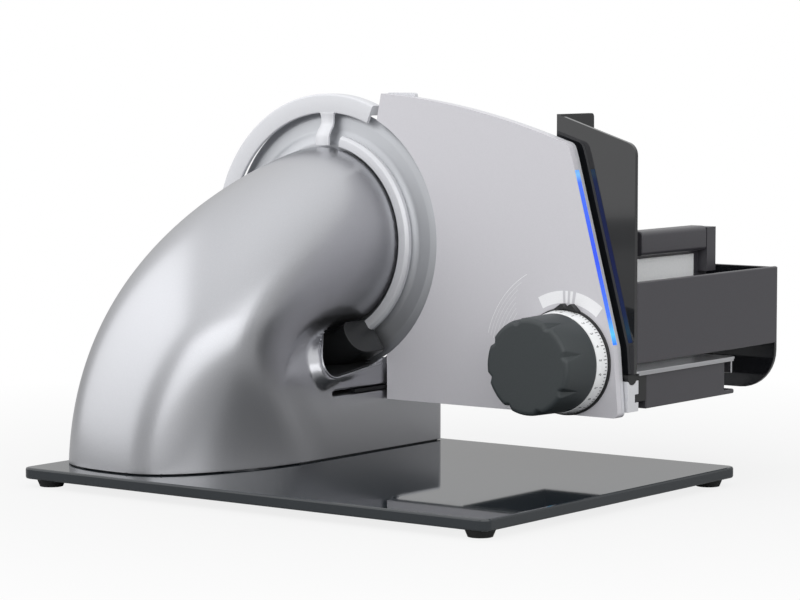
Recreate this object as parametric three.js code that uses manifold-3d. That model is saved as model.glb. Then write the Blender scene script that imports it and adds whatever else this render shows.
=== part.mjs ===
// Electric food slicer: glass base, elbow shaped motor housing, round blade, stop plate, food carriage.
// Millimetres, +Z up. X runs along the carriage travel, +Y points to the food side, Z = 0 is under the feet.
import * as THREE from 'three';
import { mergeVertices } from 'three/addons/utils/BufferGeometryUtils.js';
import Module from 'manifold-3d';

// Fits
const SEAT = 0.2;             // gap between fixed pieces that sit on each other
const FIT = 0.3;              // running gap round a shaft, rod or slider

// Base plate and feet
const BASE_LENGTH = 352;
const BASE_DEPTH = 270;
const BASE_THICKNESS = 7;
const BASE_CORNER = 6;
const BASE_EDGE = 1.2;
const FOOT_HEIGHT = 5;
const FOOT_TOP_RADIUS = 9.2;
const FOOT_BOTTOM_RADIUS = 7.2;
const FOOT_INSET = 13;

// Blade: its axis runs along Y, its cutting edge lies in the food plane
const BLADE_RADIUS = 85;
const BLADE_X = -92;
const BLADE_HEIGHT = 134.7;   // axis above the base plate
const BLADE_SHEET = 2;
const BLADE_DISH = 6;         // depth from the hub face to the cutting edge
const BLADE_HUB_RADIUS = 62;
const BLADE_BORE = 6.3;

// Motor housing: an elbow from a wide foot to the round blade end, with a web under the elbow
const HOUSING_WALL = 3;
const TUBE_RADIUS = 60.6;     // round end at the blade
const TUBE_END_Y = 62;
const TUBE_FOOT_X = -110.4;
const TUBE_FOOT_Y = -77;
const TUBE_FOOT_WIDTH = 128.6;
const TUBE_FOOT_DEPTH = 87;
const TUBE_FOOT_SQUARENESS = 2.4;
const TUBE_WAIST = 3.7;       // how much slimmer the elbow is half way
const TUBE_RISE = 116;        // curve handles of the centre line
const TUBE_REACH = 18;
const WEB_RIGHT = -46.2;
const WEB_LEFT = -164;
const WEB_STRAIGHT = 56;      // height of the upright flank above the base
const WEB_ROUND = 36;         // radius of the flank under the elbow
const WEB_TAPER = 2.8;        // how much narrower the web starts inside the foot of the elbow
const WEB_FULL_Y = 0;         // where the web has its full width
const PEDESTAL_NEAR = 40;
const PEDESTAL_FAR = 131;
const PEDESTAL_HEIGHT = 28;
const PEDESTAL_CORNER = 5;

// Chute pocket under the blade
const POCKET_NEAR = -9;
const POCKET_LOW = 52;        // floor above the base
const POCKET_HIGH = 85;
const POCKET_CORNER = 16;
const POCKET_DEPTH = 29;      // from the flank inwards
const POCKET_LIP = 5;         // thickness of the raised lip
const POCKET_PROUD = 8;       // lip in front of the flank
const LIP_CLEARANCE = 2;      // between the lip and the stop plate
const DEFLECTOR_DEPTH = 15;

// Gear train between the two gearbox plates
const COVER_THICKNESS = 6;
const COVER_RECESS = 1;       // cover face behind the end of the tube
const GEAR_PLATE_THICKNESS = 4;
const GEARBOX_DEPTH = 27;     // clear space between cover and gear plate
const PILLAR_RADIUS = 3.5;
const PILLAR_CIRCLE = 41;
const PILLAR_ANGLES = [90, 165, -20];
const SHAFT_RADIUS = 5;
const FLANGE_RADIUS = 12;
const BUSH_RADIUS = 9;
const SLOW_MODULE = 1.25;
const DRIVE_TEETH = 56;
const SLOW_PINION_TEETH = 14;
const FAST_MODULE = 1;
const FAST_GEAR_TEETH = 48;
const MOTOR_PINION_TEETH = 12;
const SLOW_FACE = 8;
const FAST_FACE = 6;
const SLOW_DIRECTION = -115;  // from the blade axis to the intermediate axis, degrees
const FAST_DIRECTION = -90;   // from the intermediate axis to the motor axis, degrees
const PIN_RADIUS = 3;

// Motor
const MOTOR_RADIUS = 22;
const MOTOR_LENGTH = 65;
const MOTOR_WALL = 5;
const MOTOR_SHAFT_RADIUS = 2.5;
const ROTOR_GAP = 1.5;
const END_CAP_THICKNESS = 3;

// Blade guard
const GUARD_INNER = 82;
const GUARD_OUTER = 94.4;
const GUARD_RIM = 7;          // width of the rim that reaches past the blade edge
const GUARD_SHEET = 2.6;
const GUARD_STAND = 3;         // guard face in front of the end of the tube
const GUARD_START = 70;       // degrees round the blade axis
const GUARD_END = 222;
const GUARD_BAND = 8;         // width of the inner band round the tube
const GUARD_BAND_END = -63;
const GUARD_SPOKE = 89.5;
const GUARD_SPOKE_WIDTH = 11;
const GUARD_BAND_START = 6;    // degrees that the inner band runs past the spoke

// Stop plate
const PLATE_FRONT_Y = 66;
const PLATE_THICKNESS = 8;
const PLATE_SKIN = 2;
const PLATE_RIM = 2.4;
const PLATE_BACK = 2.8;
const PLATE_TRAVEL = 20;
const PLATE_GAP = 2.2;        // between the blade edge and the round edge of the plate
const PLATE_LEFT = -44.2;
const PLATE_BOTTOM = 33;      // heights above the base
const PLATE_TOP_LEFT = [-49, 229.6];
const PLATE_TOP_BEND = [19, 225.3];
const PLATE_TOP_RIGHT = [89, 202];
const PLATE_SHOULDER = [95.5, 199.5];
const PLATE_RIGHT_TOP = [98, 191.5];
const PLATE_RIGHT_LOW = [129, 76];
const PLATE_RIGHT_END = [132.5, 40];
const PLATE_CREST = [24, 230.2];   // raised corner of the food side plate: length, height
const LED_TOP = 184;
const LED_BOTTOM = 78;
const LED_DEPTH = 2.2;
const LED_WIDTH = 4.4;

// Carrier of the stop plate
const ARM_THICKNESS = 2;
const ARM_CLEARANCE = 0.4;
const ARM_HEIGHT = 40;        // underside above the base
const ARM_LEFT = -100;
const SLIDE_BLOCK_LENGTH = 22;
const SLIDE_BLOCK_RIGHT = -58;
const SLIDE_BLOCK_DROP = 15;
const ROD_RADIUS = 3;
const ROD_DROP = 7.5;         // rod axis under the arm
const ROD_INSET = 10;         // rod axes from the ends of the block
const LUG_THICKNESS = 4;
const BRACKET_FLOOR = 2.6;
const TAB_THICKNESS = 1.6;
const TAB_LENGTH = 40;
const TAB_HEIGHT = 13;

// Knob
const KNOB_X = 94;
const KNOB_HEIGHT = 65.9;     // axis above the base
const KNOB_RADIUS = 30.6;
const KNOB_FRONT_RADIUS = 29.8;
const KNOB_LENGTH = 34;
const KNOB_FACE = 8;
const KNOB_WALL = 4.5;
const KNOB_HUB_RADIUS = 11;
const KNOB_GRIPS = 9;
const KNOB_GRIP_WIDTH = 5;
const KNOB_GRIP_DEPTH = 2.2;
const KNOB_GRIP_LENGTH = 14;
const SCALE_RADIUS = 31;
const SCALE_WIDTH = 6;
const POINTER_RADIUS = 32.5;
const POINTER_WIDTH = 2.4;
const SPINDLE_RADIUS = 4;
const THICKNESS_MODULE = 0.95;
const THICKNESS_TEETH = 20;
const SCREW_RADIUS = 2.5;

// Guide rail
const RAIL_LEFT = -168;
const RAIL_RIGHT = 134;
const RAIL_DEPTH = 12;
const RAIL_LOW = 36;          // heights above the base
const RAIL_HIGH = 55;
const RAIL_GAP = 1;           // behind the stop plate
const GROOVE_RADIUS = 5.5;
const GROOVE_OFFSET = 5;      // groove axis behind the rail's front face
const GROOVE_LIFT = 3;        // groove axis above the rail's top
const SLOT_DEPTH = 4;
const SLOT_HEIGHT = 5;
const SLOT_LOW = 5.5;         // slot above the underside of the rail

// Carriage
const TABLE_THICKNESS = 1.6;
const TABLE_TOP = 60.8;       // above the base
const TABLE_LEFT = -14;
const TABLE_RIGHT = 136;
const TABLE_NEAR = 82;
const TABLE_FAR = 201;
const TABLE_LIP = 11;
const BLOCK_LEFT = -6;
const BLOCK_RIGHT = 134;
const BLOCK_NEAR = 95.8;
const BLOCK_FAR = 190;
const BLOCK_LOW = 36.5;
const BLOCK_WALL = 3;
const BLOCK_STUB = 12;
const WALL = 3;               // walls of the carriage
const BACK_X = 82;            // right face of the back wall
const GUARD_NEAR = 77.5;      // front face of the thumb guard
const GUARD_RIGHT = 136.7;
const GUARD_TOP = 218;
const GUARD_SHOULDER = 198.5;
const GUARD_CORNER = 7;
const BACK_TALL_FAR = 115;
const BACK_LOW_TOP = 113;
const BACK_LOW_START = 150;
const BACK_RISE = 40;         // height of the curve between low and tall part
const HAND_FAR = 252;
const HAND_LOW = 65.5;
const HAND_TOP = 116;
const HAND_END_LOW = 35;
const HAND_CORNER = 26;

// Remnant holder
const PUSHER_X = 112;         // right face of the grip
const PUSHER_NEAR = 125;
const PUSHER_GRIP_FAR = 203;
const PUSHER_FAR = 214;
const PUSHER_GRIP_LOW = 128.2;
const PUSHER_TOP = 144;
const PUSHER_GRIP_DEPTH = 14;
const PUSHER_SHEET = 3.4;
const PUSHER_FRAME_EDGE = 4;
const PUSHER_BRIDGE = 8;
const PUSHER_PLATE_LEFT = 16;
const PUSHER_PLATE_RIGHT = 70;
const PUSHER_SPIKES = 5;
const SPIKE_LENGTH = 6;
const SPIKE_RADIUS = 2;

// Fasteners, switch and cord entry
const SCREW_SHANK = 2.2;
const SCREW_HEAD = 4.6;
const SCREW_HEAD_HEIGHT = 2.3;
const FLOOR_THICKNESS = 2;
const FLOOR_MARGIN = 8;
const BASE_SCREW_INSET = 16;
const SWITCH_RADIUS = 9;
const SWITCH_PROUD = 3;
const SWITCH_TRAVEL = 2.5;
const SWITCH_LENGTH = 8;
const SWITCH_HEIGHT = 15;
const SWITCH_BODY = [24, 15, 22];
const GLAND_RADIUS = 7;
const GLAND_NECK = 5;
const GLAND_PROUD = 3.5;
const GLAND_Y = 100;
const GLAND_HEIGHT = 14;

const wasm = await Module();
wasm.setup();

// Solids
function solidOf(geometry) {
  const bare = geometry.index ? geometry.clone() : mergeVertices(geometry);
  bare.deleteAttribute('normal');
  bare.deleteAttribute('uv');
  const merged = mergeVertices(bare, 1e-4);
  const vertProperties = new Float32Array(merged.attributes.position.array);
  const triVerts = new Uint32Array(merged.index.array);
  if (signedVolume(vertProperties, triVerts) < 0) {
    for (let i = 0; i < triVerts.length; i += 3) {
      [triVerts[i], triVerts[i + 1]] = [triVerts[i + 1], triVerts[i]];
    }
  }
  return new wasm.Manifold(new wasm.Mesh({ numProp: 3, vertProperties, triVerts }));
}

function signedVolume(points, triangles) {
  const [a, b, c] = [new THREE.Vector3(), new THREE.Vector3(), new THREE.Vector3()];
  let volume = 0;
  for (let i = 0; i < triangles.length; i += 3) {
    a.fromArray(points, triangles[i] * 3);
    b.fromArray(points, triangles[i + 1] * 3);
    c.fromArray(points, triangles[i + 2] * 3);
    volume += a.dot(b.cross(c)) / 6;
  }
  return volume;
}

function geometryOf(solid) {
  const mesh = solid.getMesh();
  const geometry = new THREE.BufferGeometry();
  geometry.setAttribute('position', new THREE.BufferAttribute(new Float32Array(mesh.vertProperties), 3));
  geometry.setIndex(new THREE.BufferAttribute(new Uint32Array(mesh.triVerts), 1));
  geometry.computeVertexNormals();
  return geometry;
}

function join(...solids) {
  return solids.reduce((sum, solid) => sum.add(solid));
}

function cut(body, ...tools) {
  return tools.reduce((rest, tool) => rest.subtract(tool), body);
}

// Block between two corners
function block([x0, x1], [y0, y1], [z0, z1]) {
  const geometry = new THREE.BoxGeometry(x1 - x0, y1 - y0, z1 - z0);
  geometry.translate((x0 + x1) / 2, (y0 + y1) / 2, (z0 + z1) / 2);
  return solidOf(geometry);
}

// Outline in X and Z, drawn out along Y
function prismY(shape, y0, y1, curveSegments = 14) {
  const geometry = new THREE.ExtrudeGeometry(shape, { depth: y1 - y0, bevelEnabled: false, curveSegments });
  geometry.rotateX(Math.PI / 2);
  geometry.translate(0, y1, 0);
  return solidOf(geometry);
}

// Outline in Y and Z, drawn out along X
function prismX(shape, x0, x1, curveSegments = 6) {
  const geometry = new THREE.ExtrudeGeometry(shape, { depth: x1 - x0, bevelEnabled: false, curveSegments });
  geometry.applyMatrix4(new THREE.Matrix4().set(0, 0, 1, x0, 1, 0, 0, 0, 0, 1, 0, 0, 0, 0, 0, 1));
  return solidOf(geometry);
}

// Outline in X and Y, drawn up along Z
function prismZ(shape, z0, z1, curveSegments = 4) {
  const geometry = new THREE.ExtrudeGeometry(shape, { depth: z1 - z0, bevelEnabled: false, curveSegments });
  geometry.translate(0, 0, z0);
  return solidOf(geometry);
}

// Profile of [radius, y] points turned about an axis along Y through (x, z)
function turnedY(profile, x, z, segments = 24) {
  const geometry = new THREE.LatheGeometry(profile.map(([r, y]) => new THREE.Vector2(r, y)), segments);
  geometry.translate(x, 0, z);
  return solidOf(geometry);
}

// Profile of [radius, z] points turned about an upright axis through (x, y)
function turnedZ(profile, x, y, segments = 12) {
  const geometry = new THREE.LatheGeometry(profile.map(([r, z]) => new THREE.Vector2(r, z)), segments);
  geometry.rotateX(Math.PI / 2);
  geometry.translate(x, y, 0);
  return solidOf(geometry);
}

function rodY(radius, y0, y1, x, z, segments = 16) {
  return turnedY([[0, y0], [radius, y0], [radius, y1], [0, y1]], x, z, segments);
}

function rodZ(radius, z0, z1, x, y, segments = 12) {
  return turnedZ([[0, z0], [radius, z0], [radius, z1], [0, z1]], x, y, segments);
}

function ringY(inner, outer, y0, y1, x, z, segments = 24) {
  return turnedY([[inner, y0], [outer, y0], [outer, y1], [inner, y1], [inner, y0]], x, z, segments);
}

// Rectangle with round corners
function roundedRect(x0, y0, x1, y1, radius) {
  const shape = new THREE.Shape();
  shape.moveTo(x0 + radius, y0);
  shape.lineTo(x1 - radius, y0);
  shape.absarc(x1 - radius, y0 + radius, radius, -Math.PI / 2, 0);
  shape.lineTo(x1, y1 - radius);
  shape.absarc(x1 - radius, y1 - radius, radius, 0, Math.PI / 2);
  shape.lineTo(x0 + radius, y1);
  shape.absarc(x0 + radius, y1 - radius, radius, Math.PI / 2, Math.PI);
  shape.lineTo(x0, y0 + radius);
  shape.absarc(x0 + radius, y0 + radius, radius, Math.PI, Math.PI * 1.5);
  return shape;
}

function polygon(points) {
  return new THREE.Shape(points.map(([x, y]) => new THREE.Vector2(x, y)));
}

// Part of a flat ring, from one angle to another in degrees
function ringSector(x, z, inner, outer, startDegrees, endDegrees) {
  const start = THREE.MathUtils.degToRad(startDegrees);
  const end = THREE.MathUtils.degToRad(endDegrees);
  const shape = new THREE.Shape();
  shape.absarc(x, z, outer, start, end, false);
  shape.absarc(x, z, inner, end, start, true);
  shape.closePath();
  return shape;
}

// Spur gear with slim straight sided teeth, one tooth pointing at the given angle
function gearShape(teeth, module, x, z, phase) {
  const pitch = (2 * Math.PI) / teeth;
  const radius = (teeth * module) / 2;
  const root = radius - 1.25 * module;
  const tip = radius + 0.9 * module;
  const corners = [[root, -0.29], [tip, -0.1], [tip, 0.1], [root, 0.29]];
  const points = [];
  for (let tooth = 0; tooth < teeth; tooth += 1) {
    for (const [r, share] of corners) {
      const angle = phase + (tooth + share) * pitch;
      points.push([x + r * Math.cos(angle), z + r * Math.sin(angle)]);
    }
  }
  return polygon(points);
}

// A tooth of one gear meets a gap of the other
function meshPhase(direction, teeth) {
  return direction + Math.PI + Math.PI / teeth;
}

function onCircle(x, z, radius, degrees) {
  const angle = THREE.MathUtils.degToRad(degrees);
  return [x + radius * Math.cos(angle), z + radius * Math.sin(angle)];
}

const model = new THREE.Group();

function add(name, solid, color, roughness, metalness = 0) {
  const material = new THREE.MeshStandardMaterial({ color, roughness, metalness });
  const mesh = new THREE.Mesh(geometryOf(solid), material);
  mesh.name = name;
  model.add(mesh);
}

const FINISH = {
  glass: [0x1d2124, 0.08],
  rubber: [0x151515, 0.9],
  silver: [0xb4b6ba, 0.32, 0.6],
  panel: [0xc3c3c7, 0.45, 0.3],
  satin: [0xe2e4e6, 0.3, 0.5],
  steel: [0xb9bcbf, 0.25, 1],
  aluminium: [0xdedfe3, 0.4, 0.8],
  black: [0x2b2c2f, 0.3],
  soot: [0x17181a, 0.45],
  anthracite: [0x30373a, 0.55],
  white: [0xe8e9ea, 0.4],
  light: [0x4b74ff, 0.3],
  brass: [0xb08d4a, 0.35, 1],
  nylon: [0xd9d6c9, 0.6],
};

// Levels and planes shared by the pieces
const floor = FOOT_HEIGHT + BASE_THICKNESS;
const up = (height) => floor + height;
const bladeZ = up(BLADE_HEIGHT);
const foodY = PLATE_FRONT_Y + PLATE_THICKNESS;
const bladeEdgeY = foodY - 0.5;
const hubFaceY = bladeEdgeY - BLADE_DISH - BLADE_SHEET;
const coverFrontY = TUBE_END_Y - COVER_RECESS;
const coverBackY = coverFrontY - COVER_THICKNESS;
const gearPlateFrontY = coverBackY - GEARBOX_DEPTH;
const gearPlateBackY = gearPlateFrontY - GEAR_PLATE_THICKNESS;

// Gear train axes
const slowDirection = THREE.MathUtils.degToRad(SLOW_DIRECTION);
const fastDirection = THREE.MathUtils.degToRad(FAST_DIRECTION);
const slowDistance = ((DRIVE_TEETH + SLOW_PINION_TEETH) * SLOW_MODULE) / 2;
const fastDistance = ((FAST_GEAR_TEETH + MOTOR_PINION_TEETH) * FAST_MODULE) / 2;
const [midX, midZ] = onCircle(BLADE_X, bladeZ, slowDistance, SLOW_DIRECTION);
const [motorX, motorZ] = onCircle(midX, midZ, fastDistance, FAST_DIRECTION);

// Base plate: float glass with ground edges, drilled for the housing screws
const screwSpots = [];
for (const x of [WEB_LEFT + BASE_SCREW_INSET, WEB_RIGHT - BASE_SCREW_INSET]) {
  for (const y of [TUBE_FOOT_Y + BASE_SCREW_INSET, PEDESTAL_FAR - BASE_SCREW_INSET]) {
    screwSpots.push([x, y]);
  }
}
const plateShape = roundedRect(
  -BASE_LENGTH / 2 + BASE_EDGE, -BASE_DEPTH / 2 + BASE_EDGE,
  BASE_LENGTH / 2 - BASE_EDGE, BASE_DEPTH / 2 - BASE_EDGE, BASE_CORNER - BASE_EDGE);
const plateGeometry = new THREE.ExtrudeGeometry(plateShape, {
  depth: BASE_THICKNESS - 2 * BASE_EDGE, bevelThickness: BASE_EDGE, bevelSize: BASE_EDGE, bevelSegments: 2,
  curveSegments: 4,
});
plateGeometry.translate(0, 0, FOOT_HEIGHT + BASE_EDGE);
const recess = SCREW_HEAD_HEIGHT + 2 * SEAT;
const plateHoles = screwSpots.map(([x, y]) => turnedZ([
  [0, FOOT_HEIGHT - 1], [SCREW_HEAD + FIT, FOOT_HEIGHT - 1], [SCREW_HEAD + FIT, FOOT_HEIGHT + recess],
  [SCREW_SHANK + FIT, FOOT_HEIGHT + recess], [SCREW_SHANK + FIT, floor + 1], [0, floor + 1],
], x, y));
add('base_plate', cut(solidOf(plateGeometry), ...plateHoles), ...FINISH.glass);

// Feet: turned rubber buttons glued under the corners
const footX = BASE_LENGTH / 2 - FOOT_INSET;
const footY = BASE_DEPTH / 2 - FOOT_INSET;
const feet = [['foot_front_left', -1, -1], ['foot_front_right', 1, -1],
  ['foot_rear_left', -1, 1], ['foot_rear_right', 1, 1]];
for (const [name, sideX, sideY] of feet) {
  const top = FOOT_HEIGHT - SEAT;
  const profile = [[0, 0], [FOOT_BOTTOM_RADIUS, 0], [FOOT_TOP_RADIUS, top], [0, top]];
  add(name, turnedZ(profile, sideX * footX, sideY * footY, 24), ...FINISH.rubber);
}

// Motor housing: rings along the centre line, from the foot to the round end
function elbow(inset, footDrop, endRun) {
  const start = new THREE.Vector3(TUBE_FOOT_X, TUBE_FOOT_Y, floor + SEAT);
  const end = new THREE.Vector3(BLADE_X, TUBE_END_Y, bladeZ);
  const line = new THREE.CubicBezierCurve3(
    start, start.clone().setZ(start.z + TUBE_RISE), end.clone().setY(end.y - TUBE_REACH), end);
  const rings = 16;
  const sides = 40;
  const points = [];
  const place = (t, shift) => {
    const centre = line.getPoint(t).add(shift);
    const along = line.getTangent(t);
    const across = new THREE.Vector3(1, 0, 0).addScaledVector(along, -along.x).normalize();
    const upward = new THREE.Vector3().crossVectors(along, across);
    const blend = t * t * (3 - 2 * t);
    const waist = TUBE_WAIST * 4 * t * (1 - t);
    const halfWidth = THREE.MathUtils.lerp(TUBE_FOOT_WIDTH / 2, TUBE_RADIUS, blend) - waist - inset;
    const halfDepth = THREE.MathUtils.lerp(TUBE_FOOT_DEPTH / 2, TUBE_RADIUS, blend) - waist - inset;
    const power = THREE.MathUtils.lerp(TUBE_FOOT_SQUARENESS, 2, blend);
    for (let i = 0; i < sides; i += 1) {
      const angle = (2 * Math.PI * i) / sides;
      const c = Math.cos(angle);
      const s = Math.sin(angle);
      const size = (Math.abs(c) ** power + Math.abs(s) ** power) ** (-1 / power);
      const point = centre.clone();
      point.addScaledVector(across, size * c * halfWidth);
      point.addScaledVector(upward, size * s * halfDepth);
      points.push(point);
    }
  };
  if (footDrop > 0) place(0, new THREE.Vector3(0, 0, -footDrop));
  for (let i = 0; i <= rings; i += 1) place(i / rings, new THREE.Vector3());
  if (endRun > 0) place(1, new THREE.Vector3(0, endRun, 0));
  return skinned(points, sides);
}

// Closed skin over rings of points, with a fan on each end
function skinned(points, sides) {
  const rings = points.length / sides;
  const index = [];
  for (let ring = 0; ring < rings - 1; ring += 1) {
    for (let i = 0; i < sides; i += 1) {
      const a = ring * sides + i;
      const b = ring * sides + ((i + 1) % sides);
      index.push(a, b, b + sides, a, b + sides, a + sides);
    }
  }
  const last = (rings - 1) * sides;
  for (let i = 1; i < sides - 1; i += 1) {
    index.push(0, i + 1, i, last, last + i, last + i + 1);
  }
  const geometry = new THREE.BufferGeometry().setFromPoints(points);
  geometry.setIndex(index);
  return solidOf(geometry);
}

// Section of the web: upright flanks that round over under the elbow
function webShape(inset, drop) {
  const right = WEB_RIGHT - inset;
  const left = WEB_LEFT + inset;
  const radius = WEB_ROUND - inset;
  const shoulder = up(WEB_STRAIGHT);
  const shape = new THREE.Shape();
  shape.moveTo(right, floor + SEAT - drop);
  shape.lineTo(right, shoulder);
  shape.absarc(right - radius, shoulder, radius, 0, Math.PI / 2);
  shape.lineTo(left + radius, shoulder + radius);
  shape.absarc(left + radius, shoulder, radius, Math.PI / 2, Math.PI);
  shape.lineTo(left, floor + SEAT - drop);
  return shape;
}

const pocketBack = WEB_RIGHT - POCKET_DEPTH;
const tubeOuter = elbow(0, 0, 0);
const tubeInner = elbow(HOUSING_WALL, 2, 2);
// The web starts narrow inside the foot and widens to its upright flanks
function webBody(inset, end) {
  const points = [];
  const sections = [[TUBE_FOOT_Y, inset + WEB_TAPER], [WEB_FULL_Y, inset], [end, inset]];
  let sides = 0;
  for (const [y, margin] of sections) {
    const outline = webShape(margin, inset).getPoints(10);
    sides = outline.length;
    for (const point of outline) points.push(new THREE.Vector3(point.x, y, point.y));
  }
  return skinned(points, sides);
}
const webOuter = webBody(0, TUBE_END_Y);
const webHollow = webBody(HOUSING_WALL, TUBE_END_Y - HOUSING_WALL);
// The hollow stops short of the chute pocket's back and floor
const pocketKeep = block(
  [pocketBack - HOUSING_WALL, WEB_RIGHT + 1], [TUBE_FOOT_Y, TUBE_END_Y],
  [up(POCKET_LOW) - HOUSING_WALL, up(WEB_STRAIGHT + WEB_ROUND) + 1]);
const pedestalOuter = prismZ(
  roundedRect(WEB_LEFT, PEDESTAL_NEAR, WEB_RIGHT, PEDESTAL_FAR, PEDESTAL_CORNER),
  floor + SEAT, up(PEDESTAL_HEIGHT));
const pedestalHollow = prismZ(
  roundedRect(WEB_LEFT + HOUSING_WALL, PEDESTAL_NEAR, WEB_RIGHT - HOUSING_WALL, PEDESTAL_FAR - HOUSING_WALL,
    PEDESTAL_CORNER - HOUSING_WALL),
  floor - 1, up(PEDESTAL_HEIGHT) - HOUSING_WALL);

// Seat under the guide rail
const railFront = foodY + RAIL_GAP;
const railBack = railFront + RAIL_DEPTH;
const railSeat = block(
  [WEB_LEFT + PEDESTAL_CORNER, WEB_RIGHT - SEAT], [railFront, railBack],
  [up(PEDESTAL_HEIGHT) - HOUSING_WALL, up(RAIL_LOW) - SEAT]);

function pocketShape(grow, top) {
  return roundedRect(
    POCKET_NEAR - grow, up(POCKET_LOW) - grow, TUBE_END_Y + 4 * POCKET_CORNER, up(top), POCKET_CORNER);
}
// The raised lip ends where the stop plate comes at its widest setting
const lipEndY = PLATE_FRONT_Y - PLATE_TRAVEL - LIP_CLEARANCE;
const beyondLip = block([-BASE_LENGTH, BASE_LENGTH], [lipEndY, BASE_DEPTH], [0, bladeZ]);
const lip = cut(
  prismX(pocketShape(POCKET_LIP, POCKET_HIGH - POCKET_LIP), pocketBack, WEB_RIGHT + POCKET_PROUD), beyondLip);
const pocket = cut(prismX(pocketShape(0, POCKET_HIGH), pocketBack, WEB_RIGHT + 4 * POCKET_PROUD), tubeOuter);

// Carrier slot, rail screws, switch and cord entry
const armLow = up(ARM_HEIGHT);
const armHigh = armLow + ARM_THICKNESS;
const coverCavityY = PLATE_FRONT_Y + PLATE_SKIN;
const tabFrontY = coverCavityY + SEAT;
const tabBackY = tabFrontY + TAB_THICKNESS;
const blockFarY = TUBE_END_Y - HOUSING_WALL - LUG_THICKNESS + FIT;
const blockNearY = blockFarY - SLIDE_BLOCK_LENGTH;
const armSlot = block(
  [ARM_LEFT - 1, WEB_RIGHT + POCKET_PROUD + 1], [blockNearY - PLATE_TRAVEL - 1, TUBE_END_Y + 1],
  [armLow - ARM_CLEARANCE, armHigh + ARM_CLEARANCE]);
const railScrewX = [WEB_LEFT + BASE_SCREW_INSET, WEB_RIGHT - BASE_SCREW_INSET];
const railMidY = (railFront + railBack) / 2;
const railScrewHoles = railScrewX.map((x) => rodZ(
  SCREW_SHANK + FIT, up(PEDESTAL_HEIGHT) - HOUSING_WALL - 1, up(RAIL_LOW) + 1, x, railMidY, 12));
const switchX = (WEB_LEFT + WEB_RIGHT) / 2;
const switchZ = up(SWITCH_HEIGHT);
const switchHole = rodY(
  SWITCH_RADIUS + FIT, PEDESTAL_FAR - HOUSING_WALL - 1, PEDESTAL_FAR + 1, switchX, switchZ);
const glandZ = up(GLAND_HEIGHT);
function turnedX(profile, y, z, segments = 24) {
  const geometry = new THREE.LatheGeometry(profile.map(([r, x]) => new THREE.Vector2(r, x)), segments);
  geometry.rotateZ(-Math.PI / 2);
  geometry.translate(0, y, z);
  return solidOf(geometry);
}
const glandHole = turnedX([
  [0, WEB_LEFT - 1], [GLAND_NECK + FIT, WEB_LEFT - 1],
  [GLAND_NECK + FIT, WEB_LEFT + HOUSING_WALL + 1], [0, WEB_LEFT + HOUSING_WALL + 1],
], GLAND_Y, glandZ);

// Seat of the gearbox cover, turned seat of the guard, and room for the large intermediate gear
const coverSeat = rodY(TUBE_RADIUS - HOUSING_WALL, coverBackY - FIT, TUBE_END_Y + 1, BLADE_X, bladeZ, 40);
const guardFrontY = TUBE_END_Y + GUARD_STAND;
const guardBackY = guardFrontY + GUARD_SHEET;
const bandFrontY = TUBE_END_Y - GUARD_SHEET;
const bandBackY = TUBE_END_Y + GUARD_SHEET;
const bandInner = TUBE_RADIUS + SEAT;
const bandOuter = bandInner + GUARD_BAND;
const guardSeat = prismY(
  ringSector(BLADE_X, bladeZ, TUBE_RADIUS - FIT, bandOuter + FIT, GUARD_BAND_END - 2,
    GUARD_SPOKE + GUARD_BAND_START + 2),
  bandFrontY - FIT, TUBE_END_Y + 1, 28);
const gearRoom = rodY(
  (FAST_GEAR_TEETH / 2 + 2) * FAST_MODULE, gearPlateFrontY, gearPlateFrontY + FAST_FACE + 4, midX, midZ, 32);

const housing = cut(
  join(tubeOuter, webOuter, pedestalOuter, railSeat, lip),
  tubeInner, cut(webHollow, pocketKeep), pedestalHollow, pocket, armSlot, ...railScrewHoles,
  switchHole, glandHole, coverSeat, guardSeat, gearRoom);
add('motor_housing', housing, ...FINISH.silver);

// Slice deflector: black liner in the chute pocket, scooped towards the front
const liner = cut(
  prismX(pocketShape(-SEAT, POCKET_HIGH - SEAT), pocketBack + SEAT, pocketBack + DEFLECTOR_DEPTH),
  elbow(-SEAT, 0, 0),
  block([-BASE_LENGTH, BASE_LENGTH], [TUBE_END_Y - COVER_THICKNESS, BASE_DEPTH], [0, bladeZ]));
const scoopRadius = (POCKET_HIGH - POCKET_LOW) * 0.62;
const scoop = new THREE.SphereGeometry(scoopRadius, 24, 16);
scoop.scale(0.9, 1.25, 1);
scoop.translate(pocketBack + DEFLECTOR_DEPTH + scoopRadius * 0.45,
  (POCKET_NEAR + TUBE_END_Y) / 2 - POCKET_LIP, up(POCKET_HIGH) - scoopRadius * 0.6);
add('slice_deflector', cut(liner, solidOf(scoop)), ...FINISH.soot);

// Floor plate and screws that hold the housing to the glass
const floorTop = floor + SEAT + FLOOR_THICKNESS;
const floorHoles = screwSpots.map(([x, y]) => rodZ(SCREW_SHANK + FIT, floor - 1, floorTop + 1, x, y, 12));
add('floor_plate', cut(prismZ(
  roundedRect(WEB_LEFT + FLOOR_MARGIN, TUBE_FOOT_Y, WEB_RIGHT - FLOOR_MARGIN, PEDESTAL_FAR - FLOOR_MARGIN,
    FLOOR_MARGIN),
  floor + SEAT, floorTop), ...floorHoles), ...FINISH.steel);
screwSpots.forEach(([x, y], i) => {
  const low = FOOT_HEIGHT + SEAT;
  const head = low + SCREW_HEAD_HEIGHT;
  add(`base_screw_${i + 1}`, turnedZ([
    [0, low], [SCREW_HEAD, low], [SCREW_HEAD, head], [SCREW_SHANK, head], [SCREW_SHANK, floorTop + SCREW_HEAD],
    [0, floorTop + SCREW_HEAD],
  ], x, y, 12), ...FINISH.steel);
});

// Pillars between the two gearbox plates
const pillars = PILLAR_ANGLES.map((angle) => onCircle(BLADE_X, bladeZ, PILLAR_CIRCLE, angle));
const pillarScrew = SCREW_SHANK * 0.8;

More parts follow.
